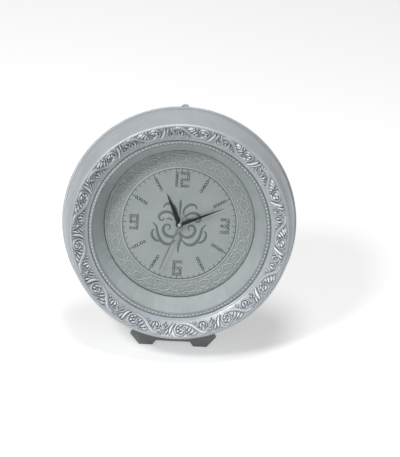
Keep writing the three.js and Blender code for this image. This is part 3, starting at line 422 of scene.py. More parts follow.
class Solid:
    """Gathers the points and faces of one piece."""

    def __init__(self):
        self.points = []
        self.faces = []

    def add(self, points, faces):
        offset = len(self.points)
        self.points += [tuple(p) for p in points]
        self.faces += [tuple(offset + i for i in face) for face in faces]
        return self

    def lathe(self, profile, segments, x=0.0, y=0.0):
        points, faces = lathe_parts(profile, segments)
        return self.add([(p[0] + x, p[1] + y, p[2]) for p in points], faces)

    def build(self, name):
        return new_object(name, self.points, self.faces)


def arc(centre, radius, start, end, steps):
    angles = np.linspace(math.radians(start), math.radians(end), steps)
    return [(centre[0] + radius * math.cos(a), centre[1] + radius * math.sin(a)) for a in angles]


def bezier(start, control, end, steps):
    return [
        tuple((1 - t) ** 2 * s + 2 * t * (1 - t) * c + t * t * e for s, c, e in zip(start, control, end))
        for t in np.linspace(0, 1, steps)
    ]


def turned(points, angle):
    """Turns points in the dial's plane clockwise by angle."""
    c, s = math.cos(angle), math.sin(angle)
    return [(c * x + s * y, c * y - s * x, *rest) for x, y, *rest in points]


def smooth_line(points, step):
    """A smooth line through hand-set points, whose further numbers are carried along."""
    p = np.array(points, float)
    p = np.vstack([2 * p[0] - p[1], p, 2 * p[-1] - p[-2]])
    runs = []
    for a, b, c, d in zip(p, p[1:], p[2:], p[3:]):
        count = max(2, math.ceil(np.linalg.norm((c - b)[:2]) / step))
        t = np.arange(count)[:, None] / count
        runs.append(0.5 * (
            2 * b + (c - a) * t + (2 * a - 5 * b + 4 * c - d) * t**2 + (3 * b - a - 3 * c + d) * t**3
        ))
    runs.append(p[-2:-1])
    return np.vstack(runs)


def smooth_step(value, start, end):
    share = np.clip((value - start) / (end - start), 0, 1)
    return share * share * (3 - 2 * share)


class Relief:
    """Heights over a flat cell that repeats along x, raised by strokes that a groove sets off."""

    undercut = 0.75
    undercut_width = 0.45
    line_step = 0.35
    far = 9.0
    thinnest = 0.05
    dot_reach = 0.01

    def __init__(self, length, columns, low, high, rows):
        self.length = length
        x = (np.arange(columns) / columns - 0.5) * length
        y = np.linspace(low, high, rows)
        self.x, self.y = np.meshgrid(x, y)
        self.height = np.zeros_like(self.x)

    def _nearest(self, line):
        """Each place's distance to the line, as a share of its half width there and in millimetres."""
        share = np.full(self.x.shape, self.far)
        plain = np.full(self.x.shape, self.far)
        for shift in (-self.length, 0, self.length):
            for x, y, width in line:
                away = np.hypot(self.x - x - shift, self.y - y)
                share = np.minimum(share, away / max(width, self.thinnest))
                plain = np.minimum(plain, away)
        return share, plain

    def stroke(self, points, crown, vein=0.0, vein_width=0.3):
        share, plain = self._nearest(smooth_line(points, self.line_step))
        outside = np.where(share > 1, plain * (1 - 1 / np.maximum(share, 1)), 0)
        self.height *= 1 - self.undercut * np.exp(-((outside / self.undercut_width) ** 2))
        bulge = crown * np.sqrt(np.clip(1 - share**2, 0, 1))
        if vein:
            bulge -= vein * np.exp(-((plain / vein_width) ** 2)) * (share < 1)
        self.height = np.maximum(self.height, bulge)

    def dot(self, x, y, radius, crown):
        self.stroke([(x - self.dot_reach, y, radius), (x + self.dot_reach, y, radius)], crown)

    def shade_and_patina(self, reach, strength, least):
        """Painted shade and patina by how deep each place lies under what stands round it."""
        blurred = self.height.copy()
        for _ in range(reach):
            sides = np.roll(blurred, 1, 1) + np.roll(blurred, -1, 1)
            padded = np.pad(blurred, ((1, 1), (0, 0)), mode="edge")
            blurred = (2 * blurred + sides + padded[2:] + padded[:-2]) / 6
        return (blurred - self.height) * strength + least

    def highlight_and_rub(self, start, end, strength):
        """Painted highlight and rubbing by how high each place stands."""
        return smooth_step(self.height, start, end) * strength


def ribbon(solid, line, rise, base=0.0):
    """A low raised stroke with a rounded top, along a line of (x, y, half width)."""
    line = np.asarray(line, float)
    run = np.gradient(line[:, :2], axis=0)
    run /= np.linalg.norm(run, axis=1)[:, None] + 1e-9
    side = np.stack([-run[:, 1], run[:, 0]], -1)
    points = []
    for (x, y, width), (sx, sy) in zip(line, side):
        for share in RIBBON_SHARES:
            level = base + rise * math.sqrt(max(0.0, 1 - share * share)) + RIBBON_LIFT
            points.append((x + sx * width * share, y + sy * width * share, level))
        points.append((x + sx * width, y + sy * width, base - RIBBON_ROOT))
        points.append((x - sx * width, y - sy * width, base - RIBBON_ROOT))
    columns = len(RIBBON_SHARES) + 2
    faces = grid_faces(len(line), columns) + end_faces(len(line), columns)
    solid.add(points, [tuple(reversed(face)) for face in faces])


# Material helpers

# Places of the mix node's share and two colours among its inputs, and of its colour among its outputs
MIX_INPUTS = (0, 6, 7)
MIX_RESULT = 2


def srgb(red, green, blue):
    """A display colour of 0 to 255 as the linear values that the shader takes."""
    def linear(value):
        value /= 255
        return value / 12.92 if value <= 0.04045 else ((value + 0.055) / 1.055) ** 2.4
    return (linear(red), linear(green), linear(blue), 1.0)


def set_socket(tree, socket, value):
    """Links another node's output to a socket, or gives it a plain value."""
    if isinstance(value, bpy.types.NodeSocket):
        tree.links.new(value, socket)
    else:
        socket.default_value = value


def set_sockets(tree, node, **values):
    """Sets sockets by name, with underscores for the spaces."""
    for name, value in values.items():
        set_socket(tree, node.inputs[name.replace("_", " ")], value)


def add_node(tree, kind, **values):
    node = tree.nodes.new("ShaderNode" + kind)
    set_sockets(tree, node, **values)
    return node


def add_math(tree, operation, first, second):
    node = add_node(tree, "Math")
    node.operation = operation
    set_socket(tree, node.inputs[0], first)
    set_socket(tree, node.inputs[1], second)
    return node.outputs[0]


class Shader:
    """A principled material with object coordinates in metres."""

    noise_low = 0.3
    noise_high = 0.7

    def __init__(self, name, roughness, metallic=0.0, **values):
        self.material = bpy.data.materials.new(name)
        self.material.use_nodes = True
        self.tree = self.material.node_tree
        self.surface = next(n for n in self.tree.nodes if n.type == "BSDF_PRINCIPLED")
        self.set(Roughness=roughness, Metallic=metallic, **values)
        self.place = add_node(self.tree, "TexCoord").outputs["Object"]

    def set(self, **values):
        set_sockets(self.tree, self.surface, **values)

    def noise(self, size_mm, detail, roughness=0.5, stretch=None):
        place = self.place
        if stretch:
            place = add_node(self.tree, "Mapping", Scale=stretch, Vector=place).outputs["Vector"]
        node = add_node(self.tree, "TexNoise", Detail=detail, Roughness=roughness, Vector=place)
        node.inputs["Scale"].default_value = 1 / (size_mm * MM)
        return node.outputs["Fac"]

    def attribute(self, name):
        node = add_node(self.tree, "Attribute")
        node.attribute_name = name
        return node.outputs["Fac"]

    def ramp(self, value, stops):
        node = add_node(self.tree, "ValToRGB", Fac=value)
        elements = node.color_ramp.elements
        for element, (position, colour) in zip(elements, (stops[0], stops[-1])):
            element.position = position
            element.color = colour
        for position, colour in stops[1:-1]:
            elements.new(position).color = colour
        return node.outputs["Color"]

    def mix(self, share, first, second, blend="MIX"):
        """Mixes two colours by a share, each a linked output or a plain value."""
        node = add_node(self.tree, "Mix")
        node.data_type = "RGBA"
        node.blend_type = blend
        for index, value in zip(MIX_INPUTS, (share, first, second)):
            set_socket(self.tree, node.inputs[index], value)
        return node.outputs[MIX_RESULT]

    def gloss(self, noise, low, high):
        """Lets the roughness follow a noise from low to high."""
        node = add_node(self.tree, "MapRange", Value=noise, To_Min=low, To_Max=high)
        set_sockets(self.tree, node, From_Min=self.noise_low, From_Max=self.noise_high)
        self.set(Roughness=node.outputs["Result"])

    def bump(self, height, depth_mm, strength):
        node = add_node(self.tree, "Bump", Distance=depth_mm * MM, Strength=strength, Height=height)
        for earlier in self.surface.inputs["Normal"].links:
            set_sockets(self.tree, node, Normal=earlier.from_socket)
        self.set(Normal=node.outputs["Normal"])


# Materials

SPECKS = [(0.3, (0.93, 0.93, 0.93, 1)), (0.7, (1, 1, 1, 1))]
# Painted reflections on the cone's mirror facets: a tone factor for each facet
FACET_REFLECTIONS = [
    (0.0, (0.93, 0.95, 0.93, 1)),
    (0.3, (1.0, 1.02, 1.0, 1)),
    (0.55, (0.97, 0.965, 1.0, 1)),
    (0.8, (1.03, 1.04, 1.04, 1)),
    (1.0, (0.96, 0.98, 0.97, 1)),
]


def silver_paint(name, tones, roughness, metallic, reflecting_facets=False):
    """Satin silver paint with a cloudy tone, dull patches and a fine grain.

    The tones are light, dark, patina with painted shade, and rubbing with painted highlight. The painted
    shade and patina lie by each point's hollow share, and the painted highlight and rubbing by its raised
    share.
    """
    light, dark, patina_and_shade, rub_and_highlight_tone = [srgb(*tone) for tone in tones]
    shader = Shader(name, roughness, metallic)
    cloud = shader.noise(size_mm=38, detail=4, roughness=0.6)
    tone = shader.ramp(cloud, [(0.35, dark), (0.65, light)])
    # with reflecting facets, each facet's tone is a painted reflection; elsewhere fine random specks
    if reflecting_facets:
        fine_variation = shader.ramp(shader.attribute("facet_reflection"), FACET_REFLECTIONS)
    else:
        fine_variation = shader.ramp(shader.noise(size_mm=1.1, detail=2), SPECKS)
    varied_tone = shader.mix(1.0, tone, fine_variation, "MULTIPLY")
    # painted shade with patina in the hollows, then painted highlight with rubbing on the raised places
    with_shade_and_patina = shader.mix(shader.attribute("shade_and_patina"), varied_tone, patina_and_shade)
    shader.set(Base_Color=shader.mix(shader.attribute("highlight_and_rub"), with_shade_and_patina, rub_and_highlight_tone))
    patches = shader.noise(size_mm=14, detail=4, roughness=0.6)
    shader.gloss(patches, low=roughness - 0.05, high=roughness + 0.09)
    shader.bump(shader.noise(size_mm=0.8, detail=3), depth_mm=0.015, strength=0.35)
    shader.bump(shader.noise(size_mm=9, detail=2), depth_mm=0.05, strength=0.25)
    return shader.material


def plastic(name, light, dark, roughness, grain_mm, depth_mm, metallic=0.0, **sockets):
    """Moulded plastic or smooth paint with a fine grain and slightly rubbed patches."""
    shader = Shader(name, roughness, metallic, **sockets)
    cloud = shader.noise(size_mm=12, detail=4, roughness=0.6)
    shader.set(Base_Color=shader.ramp(cloud, [(0.35, srgb(*dark)), (0.7, srgb(*light))]))
    patches = shader.noise(size_mm=8, detail=4, roughness=0.6)
    shader.gloss(patches, low=roughness - 0.07, high=roughness + 0.08)
    shader.bump(shader.noise(grain_mm, detail=2), depth_mm, strength=0.5)
    return shader.material


def metal(name, light, dark, roughness, stretch):
    """Bare metal with drawn lines along one direction."""
    shader = Shader(name, roughness, metallic=1.0)
    lines = shader.noise(size_mm=0.9, detail=3, roughness=0.6, stretch=stretch)
    shader.set(Base_Color=shader.ramp(lines, [(0.3, srgb(*dark)), (0.7, srgb(*light))]))
    shader.gloss(lines, low=roughness - 0.06, high=roughness + 0.1)
    shader.bump(lines, depth_mm=0.02, strength=0.4)
    return shader.material


def cut_stone(name, light, dark):
    """A clear foil-backed stone: bright, hard and slightly uneven in tone."""
    shader = Shader(name, roughness=0.16, Coat_Weight=0.25, Coat_Roughness=0.08, IOR=1.55)
    cloud = shader.noise(size_mm=1.6, detail=1)
    shader.set(Base_Color=shader.ramp(cloud, [(0.35, srgb(*dark)), (0.62, srgb(*light))]))
    return shader.material


# Each silver's tones: light and dark at random, patina with painted shade for hollows, rubbing with painted
# highlight for raised places
SILVER = silver_paint(
    "satin_silver", [(176, 182, 187), (166, 172, 177), (96, 101, 102), (226, 230, 232)], 0.37, 0.2,
)
BRIGHT_SILVER = silver_paint(
    "bead_silver", [(178, 184, 186), (168, 174, 176), (100, 105, 106), (232, 235, 236)], 0.34, 0.15,
)
CONE_SILVER = silver_paint(
    "cone_silver", [(184, 190, 192), (174, 180, 182), (100, 106, 107), (226, 230, 232)], 0.4, 0.18,
    reflecting_facets=True,
)
DIAL_SILVER = silver_paint(
    "dial_silver", [(149, 155, 156), (142, 149, 150), (92, 98, 97), (176, 182, 181)], 0.42, 0.12,
)
INLAY_GREY = silver_paint(
    "inlay_grey", [(98, 106, 108), (88, 96, 98), (62, 68, 68), (120, 126, 128)], 0.42, 0.15,
)
SETTING_GREY = silver_paint(
    "setting_grey", [(84, 90, 93), (72, 78, 81), (44, 48, 50), (110, 116, 118)], 0.38, 0.4,
)
STONE = cut_stone("cut_stone", (176, 182, 185), (116, 123, 127))
HAND_BLACK = plastic("hand_black_paint", (13, 15, 16), (8, 9, 10), 0.5, 0.6, 0.01, Specular_IOR_Level=0.25)
HAND_SILVER = plastic("hand_silver_paint", (112, 117, 120), (98, 103, 106), 0.4, 0.6, 0.01, 0.3)
CAP_SILVER = plastic("cap_silver_paint", (158, 162, 163), (140, 144, 146), 0.4, 0.6, 0.01, 0.3)
CASE_BLACK = plastic("case_black", (34, 35, 37), (26, 27, 29), 0.55, 0.35, 0.03)
WHITE_MOULDING = plastic("white_moulding", (226, 227, 222), (214, 215, 209), 0.45, 0.8, 0.01)
RUBBER = plastic("rubber", (34, 34, 34), (24, 24, 24), 0.85, 0.4, 0.04)
FOOT_GREY = plastic("foot_grey", (132, 135, 134), (118, 121, 120), 0.6, 0.5, 0.04)
PANEL_DARK = plastic("panel_dark", (78, 80, 81), (66, 68, 69), 0.7, 0.45, 0.06)
BOARD_GREEN = plastic("board_green", (60, 112, 74), (44, 92, 58), 0.4, 1.4, 0.02)
CELL_GREEN = plastic("cell_jacket", (70, 132, 98), (58, 118, 86), 0.32, 3.0, 0.005, 0.4)
COPPER = metal("copper_wire", (196, 122, 78), (160, 92, 54), 0.3, (1, 1, 14))
BRASS = metal("aged_brass", (92, 90, 84), (72, 70, 66), 0.45, (1, 1, 1))
STEEL = metal("steel", (200, 203, 206), (176, 179, 182), 0.3, (6, 1, 1))


# Carved border's bed: a shallow hollow between the ridge and the plain band

BED_RUN = np.array(RIDGE) - np.array(BED_INNER)
BED_LENGTH = float(np.linalg.norm(BED_RUN))
BED_MIDDLE = (np.array(RIDGE) + np.array(BED_INNER)) / 2
BED_OUTWARD = BED_RUN / BED_LENGTH
BED_NORMAL = np.array([-BED_OUTWARD[1], BED_OUTWARD[0]])


def border_point(y, height):
    """Radius and level of a place y outward from the bed's middle line and height off the straight bed."""
    return tuple(BED_MIDDLE + BED_OUTWARD * y + BED_NORMAL * height)


def border_base(y):
    """The smooth hollow of the bed that the carving stands on."""
    return -BORDER_HOLLOW * (1 - (2 * y / BED_LENGTH) ** 2)


# Front shell: the turned body that carries the border

def shell_profile():
    return [
        *SHELL_RIM,
        *arc(LIP_MIDDLE, LIP_ROUND, 0, 90, LIP_STEPS),
        LIP_CREASE,
        *bezier(SKIRT_FOOT, SKIRT_MIDDLE, SKIRT_TOP, SKIRT_STEPS),
        *bezier(SKIRT_TOP, SHOULDER, RIDGE, SHOULDER_STEPS)[1:],
        *[border_point(y, -BORDER_SKIN + border_base(y)) for y in BED_LINE],
        BED_INNER,
        *PLAIN_BAND,
        *LEDGE,
        *SHELL_BACK,
    ]


def shell_piece():
    solid = Solid().lathe(shell_profile(), SHELL_SEGMENTS)
    obj = solid.build("shell_body")
    radius = np.hypot(*np.array(solid.points)[:, :2].T)
    # painted shade and patina in the hollow bed and, darker, on the step down to the bead ring
    bed = np.where(radius < RIDGE[0], BED_SHADE_AND_PATINA, 0.0)
    set_painted_light_and_patina(obj, np.where(radius < GROOVE_RADIUS, GROOVE_SHADE_AND_PATINA, bed))
    return finish_piece(obj, "clock", SILVER, ["front_shell"], sharp=32)


# Carved border: strokes of (x along the bed, y outward, half width) in one repeat

STEM = [
    (-42.5, 0.4, 0.5), (-39.5, 4.8, 1.3), (-35.5, 7.4, 2.0), (-30.6, 8.2, 2.3), (-25.6, 6.2, 2.5),
    (-21.2, 1.4, 2.6), (-16.6, -4.0, 2.5), (-10.6, -8.0, 2.3), (-4.0, -9.2, 1.9), (2.4, -7.9, 1.6),
    (6.2, -3.6, 1.5), (7.0, 2.0, 1.4), (4.8, 7.2, 1.4), (0.2, 9.0, 1.3), (-4.4, 7.0, 1.2),
    (-5.9, 2.8, 1.0), (-4.8, -1.0, 0.9), (-2.2, -2.8, 0.7),
]
PETALS = [
    [(-3.2, 3.4, 0.85), (-1.6, 5.0, 1.95), (0.8, 5.9, 0.85)],
    [(1.0, 1.2, 0.85), (2.8, 2.8, 1.83), (3.6, 4.8, 0.73)],
    [(0.8, -3.4, 0.73), (2.8, -2.2, 1.71), (4.0, -0.2, 0.73)],
    [(-2.8, -5.9, 0.73), (-0.6, -5.3, 1.46), (1.6, -5.2, 0.73)],
]
FILLING_LEAVES = [
    [(-20.2, 7.4, 0.56), (-17.4, 8.4, 1.68), (-14.2, 9.8, 0.56)],
    [(-17.6, 2.8, 0.56), (-14.8, 5.0, 2.02), (-11.4, 6.8, 0.67)],
    [(-13.8, -1.6, 0.56), (-11.4, 1.2, 1.9), (-9.2, 4.4, 0.67)],
    [(-10.6, -4.6, 0.56), (-8.6, -2.4, 1.57), (-7.8, 0.8, 0.56)],
]
BLADES = [
    [(13.4, 8.8, 0.6), (13.2, 4.6, 1.92), (12.2, -0.6, 2.16), (10.0, -5.6, 1.68), (6.8, -9.6, 0.6)],
    [(17.6, 9.0, 0.48), (17.2, 5.6, 1.44), (15.8, 1.8, 1.32), (14.6, -1.2, 0.48)],
]
HOOK_LEAF = [
    (10.2, -9.6, 0.4), (13.4, -5.8, 1.2), (16.8, -1.4, 1.4), (20.2, 1.8, 1.4), (23.4, 2.2, 1.2),
    (25.0, -0.6, 1.0), (24.4, -3.8, 0.6),
]
HANGING_BUD = [
    [(19.8, -2.2, 0.4), (19.6, -4.6, 1.4), (19.2, -7.0, 0.5)],
    [(17.2, -4.6, 0.4), (17.4, -6.6, 1.0), (18.6, -8.2, 0.4)],
    [(22.2, -5.0, 0.4), (21.6, -7.0, 1.0), (20.0, -8.3, 0.4)],
    [(-19.4, -6.4, 0.5), (-20.0, -8.4, 1.1), (-20.4, -10.4, 0.4)],
]
CUP_RIM = [
    (-30.8, 2.0, 0.53), (-33.8, -0.2, 1.06), (-34.8, -4.0, 1.23), (-33.0, -8.0, 1.23), (-28.8, -9.8, 1.23),
    (-24.8, -8.0, 1.23), (-23.0, -4.2, 1.06), (-23.8, -1.0, 0.62),
]
CUP_TONGUES = [
    [(-31.2, -1.0, 0.61), (-31.2, -4.2, 1.71), (-29.6, -7.2, 0.73)],
    [(-26.8, 1.0, 0.61), (-26.6, -3.4, 1.71), (-28.2, -7.0, 0.73)],
]
BERRIES = [
    (-0.8, 1.2, 1.3), (19.2, -10.1, 1.1), (21.4, 7.4, 1.3), (24.8, 8.8, 1.1), (-9.2, 8.8, 1.3),
    (-12.4, 10.0, 0.9), (-17.4, -10.2, 1.0), (27.6, 6.2, 1.0), (10.2, 9.9, 0.9), (-5.6, -4.0, 0.9),
    (-8.0, 5.6, 0.9),
]

# Strokes in the order of carving, each with its crown, and the stem with its vein's depth and width
BORDER_STROKES = [
    (FILLING_LEAVES + HANGING_BUD, 3.0),
    ([CUP_RIM], 2.3),
    (CUP_TONGUES, 3.1),
    ([HOOK_LEAF], 2.7),
    ([STEM], 2.3, 0.3, 0.4),
    (BLADES[::-1], 3.6),
    (PETALS, 3.1),
]
BERRY_CROWN = 2.6


def on_bed(points):
    """Moves a motif towards the bed's outer edge, which leaves a plain band inside it."""
    return [(x, y * CARVING_SQUEEZE + CARVING_SHIFT, width) for x, y, width in points]


def border_relief():
    length = FULL_TURN * BORDER_RADIUS / BORDER_REPEATS
    relief = Relief(length, BORDER_COLUMNS, -BED_LENGTH / 2, BED_LENGTH / 2, BORDER_ROWS)
    for lines, *levels in BORDER_STROKES:
        for line in lines:
            relief.stroke(on_bed(line), *levels)
    for berry in BERRIES:
        relief.dot(*on_bed([berry])[0], BERRY_CROWN)
    relief.height *= 1 - smooth_step(np.abs(relief.y), BED_LENGTH / 2 - BORDER_FADE, BED_LENGTH / 2)
    return relief


def carved_places(relief):
    """Radius and level of each place of one repeat, kept behind the front limit."""
    base = border_base(relief.y[:, :1])
    ground = BED_MIDDLE + relief.y[..., None] * BED_OUTWARD + base[..., None] * BED_NORMAL
    forward = np.array([math.sin(LEAN), math.cos(LEAN)])
    room = (FRONT_LIMIT - ground @ forward) / (BED_NORMAL @ forward)
    return ground + np.minimum(relief.height, room)[..., None] * BED_NORMAL


def ring_surface(name, table, angle):
    """A closed ring from rows of radius, level, painted shade with patina and painted highlight with
    rubbing, each a number or one for each angle.
    """
    rows = np.array([round_row(radius, level, angle) for radius, level, *_ in table])
    obj = new_object(name, rows.reshape(-1, 3), grid_faces(len(rows), len(angle), wrap_rows=True))
    shares = [[np.broadcast_to(share, len(angle)) for share in kind] for kind in list(zip(*table))[2:]]
    set_painted_light_and_patina(obj, *[np.array(share, float).ravel() for share in shares])
    return obj


def repeated(values, count):
    """Rows of a relief's values, each repeated count times round the ring."""
    return list(zip(*[np.tile(value, (1, count)) for value in values]))


def carved_border():
    relief = border_relief()
    radius, level = np.moveaxis(carved_places(relief), -1, 0)
    total = BORDER_REPEATS * BORDER_COLUMNS
    angle = BORDER_START + (np.arange(total) - BORDER_COLUMNS / 2) * FULL_TURN / total
    # painted shade with patina in the hollows, painted highlight with rubbing on the crowns
    values = radius, level, relief.shade_and_patina(*BORDER_SHADE_AND_PATINA), relief.highlight_and_rub(*BORDER_HIGHLIGHT_AND_RUB)
    under = [(*border_point(y, -BORDER_SKIN), 0, 0) for y in (BED_LENGTH / 2, -BED_LENGTH / 2)]
    obj = ring_surface("carved_border", repeated(values, BORDER_REPEATS) + under, angle)
    return finish_piece(obj, "clock", SILVER, ["front_shell"], sharp=60)


# Reflector cone and bead ring

def reflector():
    foot, top = np.array(CONE_FOOT), np.array(CONE_TOP)
    slope = [(*(foot + (top - foot) * share), patina_and_shade) for share, patina_and_shade in CONE_SLOPE]
    rows = np.array(CONE_BACK + slope)
    obj = Solid().lathe(rows[:, :2].tolist(), CONE_FACETS).build("reflector")
    # painted shade on the cone: full at its foot by the dial, some under the bead ring
    set_painted_light_and_patina(obj, np.repeat(rows[:, 2], CONE_FACETS))
    # a painted reflection for each facet, as a share that picks its tone
    facet = np.arange(CONE_FACETS)
    facet_reflection = (facet * FACET_STEP + FACET_SWAY * np.sin(facet * FACET_SWAY_RATE)) % 1
    set_shares(obj, "facet_reflection", np.tile(facet_reflection, len(rows)), "FACE")
    return finish_piece(obj, "clock", CONE_SILVER, ["reflector_cone"], sharp=3)


def pearl_profile():
    """A round bead cut flat below its middle."""
    angles = np.linspace(-BEAD_CUT, BEAD_TOP, BEAD_RINGS)
    side = [(BEAD_RADIUS * math.cos(a), BEAD_LEVEL + BEAD_RADIUS * math.sin(a)) for a in angles]
    return [(0.0, BEAD_LEVEL - BEAD_RADIUS * BEAD_CUT), *side, (0.0, BEAD_LEVEL + BEAD_RADIUS)]


def bead_ring():
    solid = Solid().lathe(BEAD_BED, SHELL_SEGMENTS)
    in_bed = len(solid.points)
    for i in range(BEAD_COUNT):
        a = i * FULL_TURN / BEAD_COUNT
        solid.lathe(pearl_profile(), BEAD_SIDES, BEAD_CIRCLE * math.sin(a), BEAD_CIRCLE * math.cos(a))
    obj = solid.build("bead_ring_pearls")
    bed = np.arange(len(solid.points)) < in_bed
    # painted shade and patina in the bed, painted highlight and rubbing on the pearls
    set_painted_light_and_patina(obj, np.where(bed, BEAD_BED_SHADE_AND_PATINA, 0.0), np.where(bed, 0.0, BEAD_HIGHLIGHT_AND_RUB))
    return finish_piece(obj, "clock", BRIGHT_SILVER, ["bead_ring"], sharp=50)


# Dial

# Vine in one cell: a scroll and leaves of (x, y, half width), mirrored in the other bend
VINE_SCROLL = [
    (-11.0, 1.6, 0.7), (-8.2, -2.6, 0.95), (-3.6, -5.8, 1.0), (1.8, -5.4, 0.95), (4.8, -2.2, 0.9),
    (3.8, 1.8, 0.85), (0.2, 3.2, 0.8), (-3.0, 1.4, 0.7),
]
VINE_LEAVES = [
    [(5.4, -4.4, 0.4), (7.6, -6.0, 1.3), (9.8, -8.0, 0.3)],
    [(6.8, -1.6, 0.4), (9.0, -1.8, 1.2), (11.2, -3.4, 0.3)],
    [(-6.4, -5.6, 0.4), (-8.6, -7.0, 1.3), (-11.0, -6.6, 0.3)],
    [(-5.0, 6.6, 0.4), (-2.4, 7.8, 1.2), (0.4, 7.4, 0.3)],
    [(3.2, 5.8, 0.4), (5.6, 7.6, 1.2), (8.4, 7.4, 0.3)],
    [(-1.6, -8.0, 0.4), (0.6, -8.4, 1.0), (3.2, -8.2, 0.3)],
]


def filling_strokes(relief):
    """Small leaves at seeded random places between the vine's bends."""
    rng = np.random.default_rng(FILL_SEED)
    half = VINE_LENGTH / 2
    for _ in range(FILL_COUNT):
        x, y = rng.uniform(-half, half), rng.uniform(*FILL_RANGE)
        bend, lean = rng.uniform(-FILL_BEND, FILL_BEND), rng.uniform(-FILL_BEND, FILL_BEND)
        tail, tip = (x - FILL_REACH, y - lean, FILL_TIP), (x + FILL_REACH, y + lean, FILL_TIP)
        relief.stroke([tail, (x, y + bend, FILL_HALF_WIDTH), tip], *FILL_LEVELS)


def rosette(relief, middle, side):
    for petal in range(ROSETTE_PETALS):
        a = petal * FULL_TURN / ROSETTE_PETALS + ROSETTE_TURN
        x = middle + ROSETTE[0] + ROSETTE_RADIUS * math.cos(a)
        y = side * (ROSETTE[1] + ROSETTE_RADIUS * math.sin(a))
        relief.dot(x, y, PETAL_RADIUS, ROSETTE_CROWN)


def vine_relief():
    """A flowing vine with a scroll, a rosette and leaves in each bend."""
    relief = Relief(VINE_LENGTH, BAND_COLUMNS, *VINE_RANGE, BAND_ROWS)
    half = VINE_LENGTH / 2
    stem = [
        (x, VINE_SWING * math.cos(FULL_TURN * x / VINE_LENGTH), VINE_HALF_WIDTH)
        for x in np.linspace(-half, half, VINE_POINTS)
    ]
    relief.stroke(stem, *VINE_LEVELS)
    filling_strokes(relief)
    for side, middle in ((1, 0), (-1, half)):
        relief.stroke([(middle + x, side * y, w) for x, y, w in VINE_SCROLL], SCROLL_CROWN)
        rosette(relief, middle, side)
        for leaf in VINE_LEAVES:
            relief.stroke([(middle + x, side * y, w) for x, y, w in leaf], *VINE_LEAF_LEVELS)
    return relief


def band_rows():
    """The embossed band as rows of radius, levels, painted shade with patina and painted highlight with
    rubbing, with a painted shadow along its outer edge.
    """
    relief = vine_relief()
    radius = np.linspace(*BAND_RADII, BAND_ROWS)[:, None] + np.zeros(BAND_COLUMNS)
    fade = smooth_step(radius, *BAND_FADE_IN) * (1 - smooth_step(radius, *BAND_FADE_OUT))
    level = relief.height * BAND_RELIEF * fade - BAND_SINK
    shade_and_patina = relief.shade_and_patina(*BAND_SHADE_AND_PATINA)
    # a painted shadow along the outer edge, where the dial meets the cone
    shade_and_patina[-BAND_EDGE_SHADOW_ROWS:] = 1.0
    return repeated((radius, level, shade_and_patina, relief.highlight_and_rub(*BAND_HIGHLIGHT_AND_RUB)), BAND_REPEATS)


def dial_plate():
    total = BAND_REPEATS * BAND_COLUMNS
    angle = np.arange(total) * FULL_TURN / total
    obj = ring_surface("dial_plate", [*DIAL_FIELD, *band_rows(), *DIAL_EDGE][::-1], angle)
    return finish_piece(obj, "clock", DIAL_SILVER, ["dial"], sharp=60)


# Floral middle: stems of (x, y, half width) on the right half
INLAY_STEMS = [
    [(0, -10, 0.6), (3.2, -17.5, 1.1), (0.6, -26, 1.3), (0.0, -33, 1.0), (0.0, -38, 0.4)],
    [(1.0, -12, 0.5), (8.4, -17, 1.2), (16, -15.4, 1.5), (20.4, -9, 1.3), (18.6, -2.6, 1.0),
     (13.4, -1.6, 0.8), (11.4, -5.6, 0.6), (14.0, -8.2, 0.4)],
    [(4.0, -21, 0.5), (10.6, -26.4, 1.2), (18.4, -26.2, 1.5), (24.2, -20.4, 1.5), (27.4, -12.6, 1.2),
     (29.4, -4.4, 0.9), (34.0, 0.4, 0.5)],
    [(22, -23.4, 0.4), (29, -22.6, 1.1), (34.2, -16.6, 1.2), (33.8, -9.6, 0.8), (30.8, -8.6, 0.4)],
    [(6.0, 9.0, 0.5), (12.6, 14.4, 1.1), (20.4, 14.8, 1.4), (26.2, 10.0, 1.2), (25.0, 4.6, 0.9),
     (20.8, 4.4, 0.6), (20.2, 7.8, 0.4)],
    [(3.4, 13.4, 0.5), (5.6, 20.4, 1.1), (11.6, 25.6, 1.3), (18.6, 25.4, 1.0), (21.4, 20.6, 0.5)],
    [(0.0, 12.0, 0.5), (0.0, 20, 1.0), (0.0, 27, 1.3), (0.0, 32, 0.4)],
    [(9.0, 4.0, 0.4), (12.8, 6.6, 0.9), (17.2, 5.6, 0.4)],
]


def floral_strokes(solid):
    """The floral middle: each stem and its mirror image, and those on the middle line once."""
    for stem in INLAY_STEMS:
        centred = max(abs(x) for x, *_ in stem) < MIDDLE_STEM
        for mirror in (1,) if centred else (1, -1):
            line = [(mirror * x, y, w * INLAY_SPREAD) for x, y, w in stem]
            ribbon(solid, smooth_line(line, INLAY_STEP), INLAY_RISE)


def minute_strokes(solid):
    for hour in STEM_HOURS:
        line = [(0, y, STEM_HALF_WIDTH) for y in STEM_PLACES]
        ribbon(solid, turned(line, hour * FULL_TURN / 12), INLAY_RISE)
    for minute in range(60):
        hour, rest = divmod(minute, 5)
        if not rest and hour in STEM_HOURS:
            continue
        reach, half_width = TICK if rest else HOUR_TICK
        line = [(0, y, half_width) for y in (TICK_END - reach, TICK_END - reach / 2, TICK_END)]
        ribbon(solid, turned(line, minute * FULL_TURN / 60), TICK_RISE)


def inlay_piece():
    solid = Solid()
    floral_strokes(solid)
    minute_strokes(solid)
    obj = solid.build("dial_inlay")
    set_painted_light_and_patina(obj)
    return finish_piece(obj, "clock", INLAY_GREY)


# Markers: cut stones in dark settings

def stone_places(hour):
    if hour in NUMERALS:
        return [
            (left + i * STONE_PITCH, (MIDDLE_STONE - j) * STONE_PITCH)
            for digit, left in NUMERALS[hour]
            for j, row in enumerate(DIGIT_ROWS[digit])
            for i, mark in enumerate(row)
            if mark == "1"
        ]
    bar = [(0.0, (i - MIDDLE_STONE) * BAR_PITCH) for i in range(BAR_STONES)]
    return turned(bar, hour * FULL_TURN / 12)


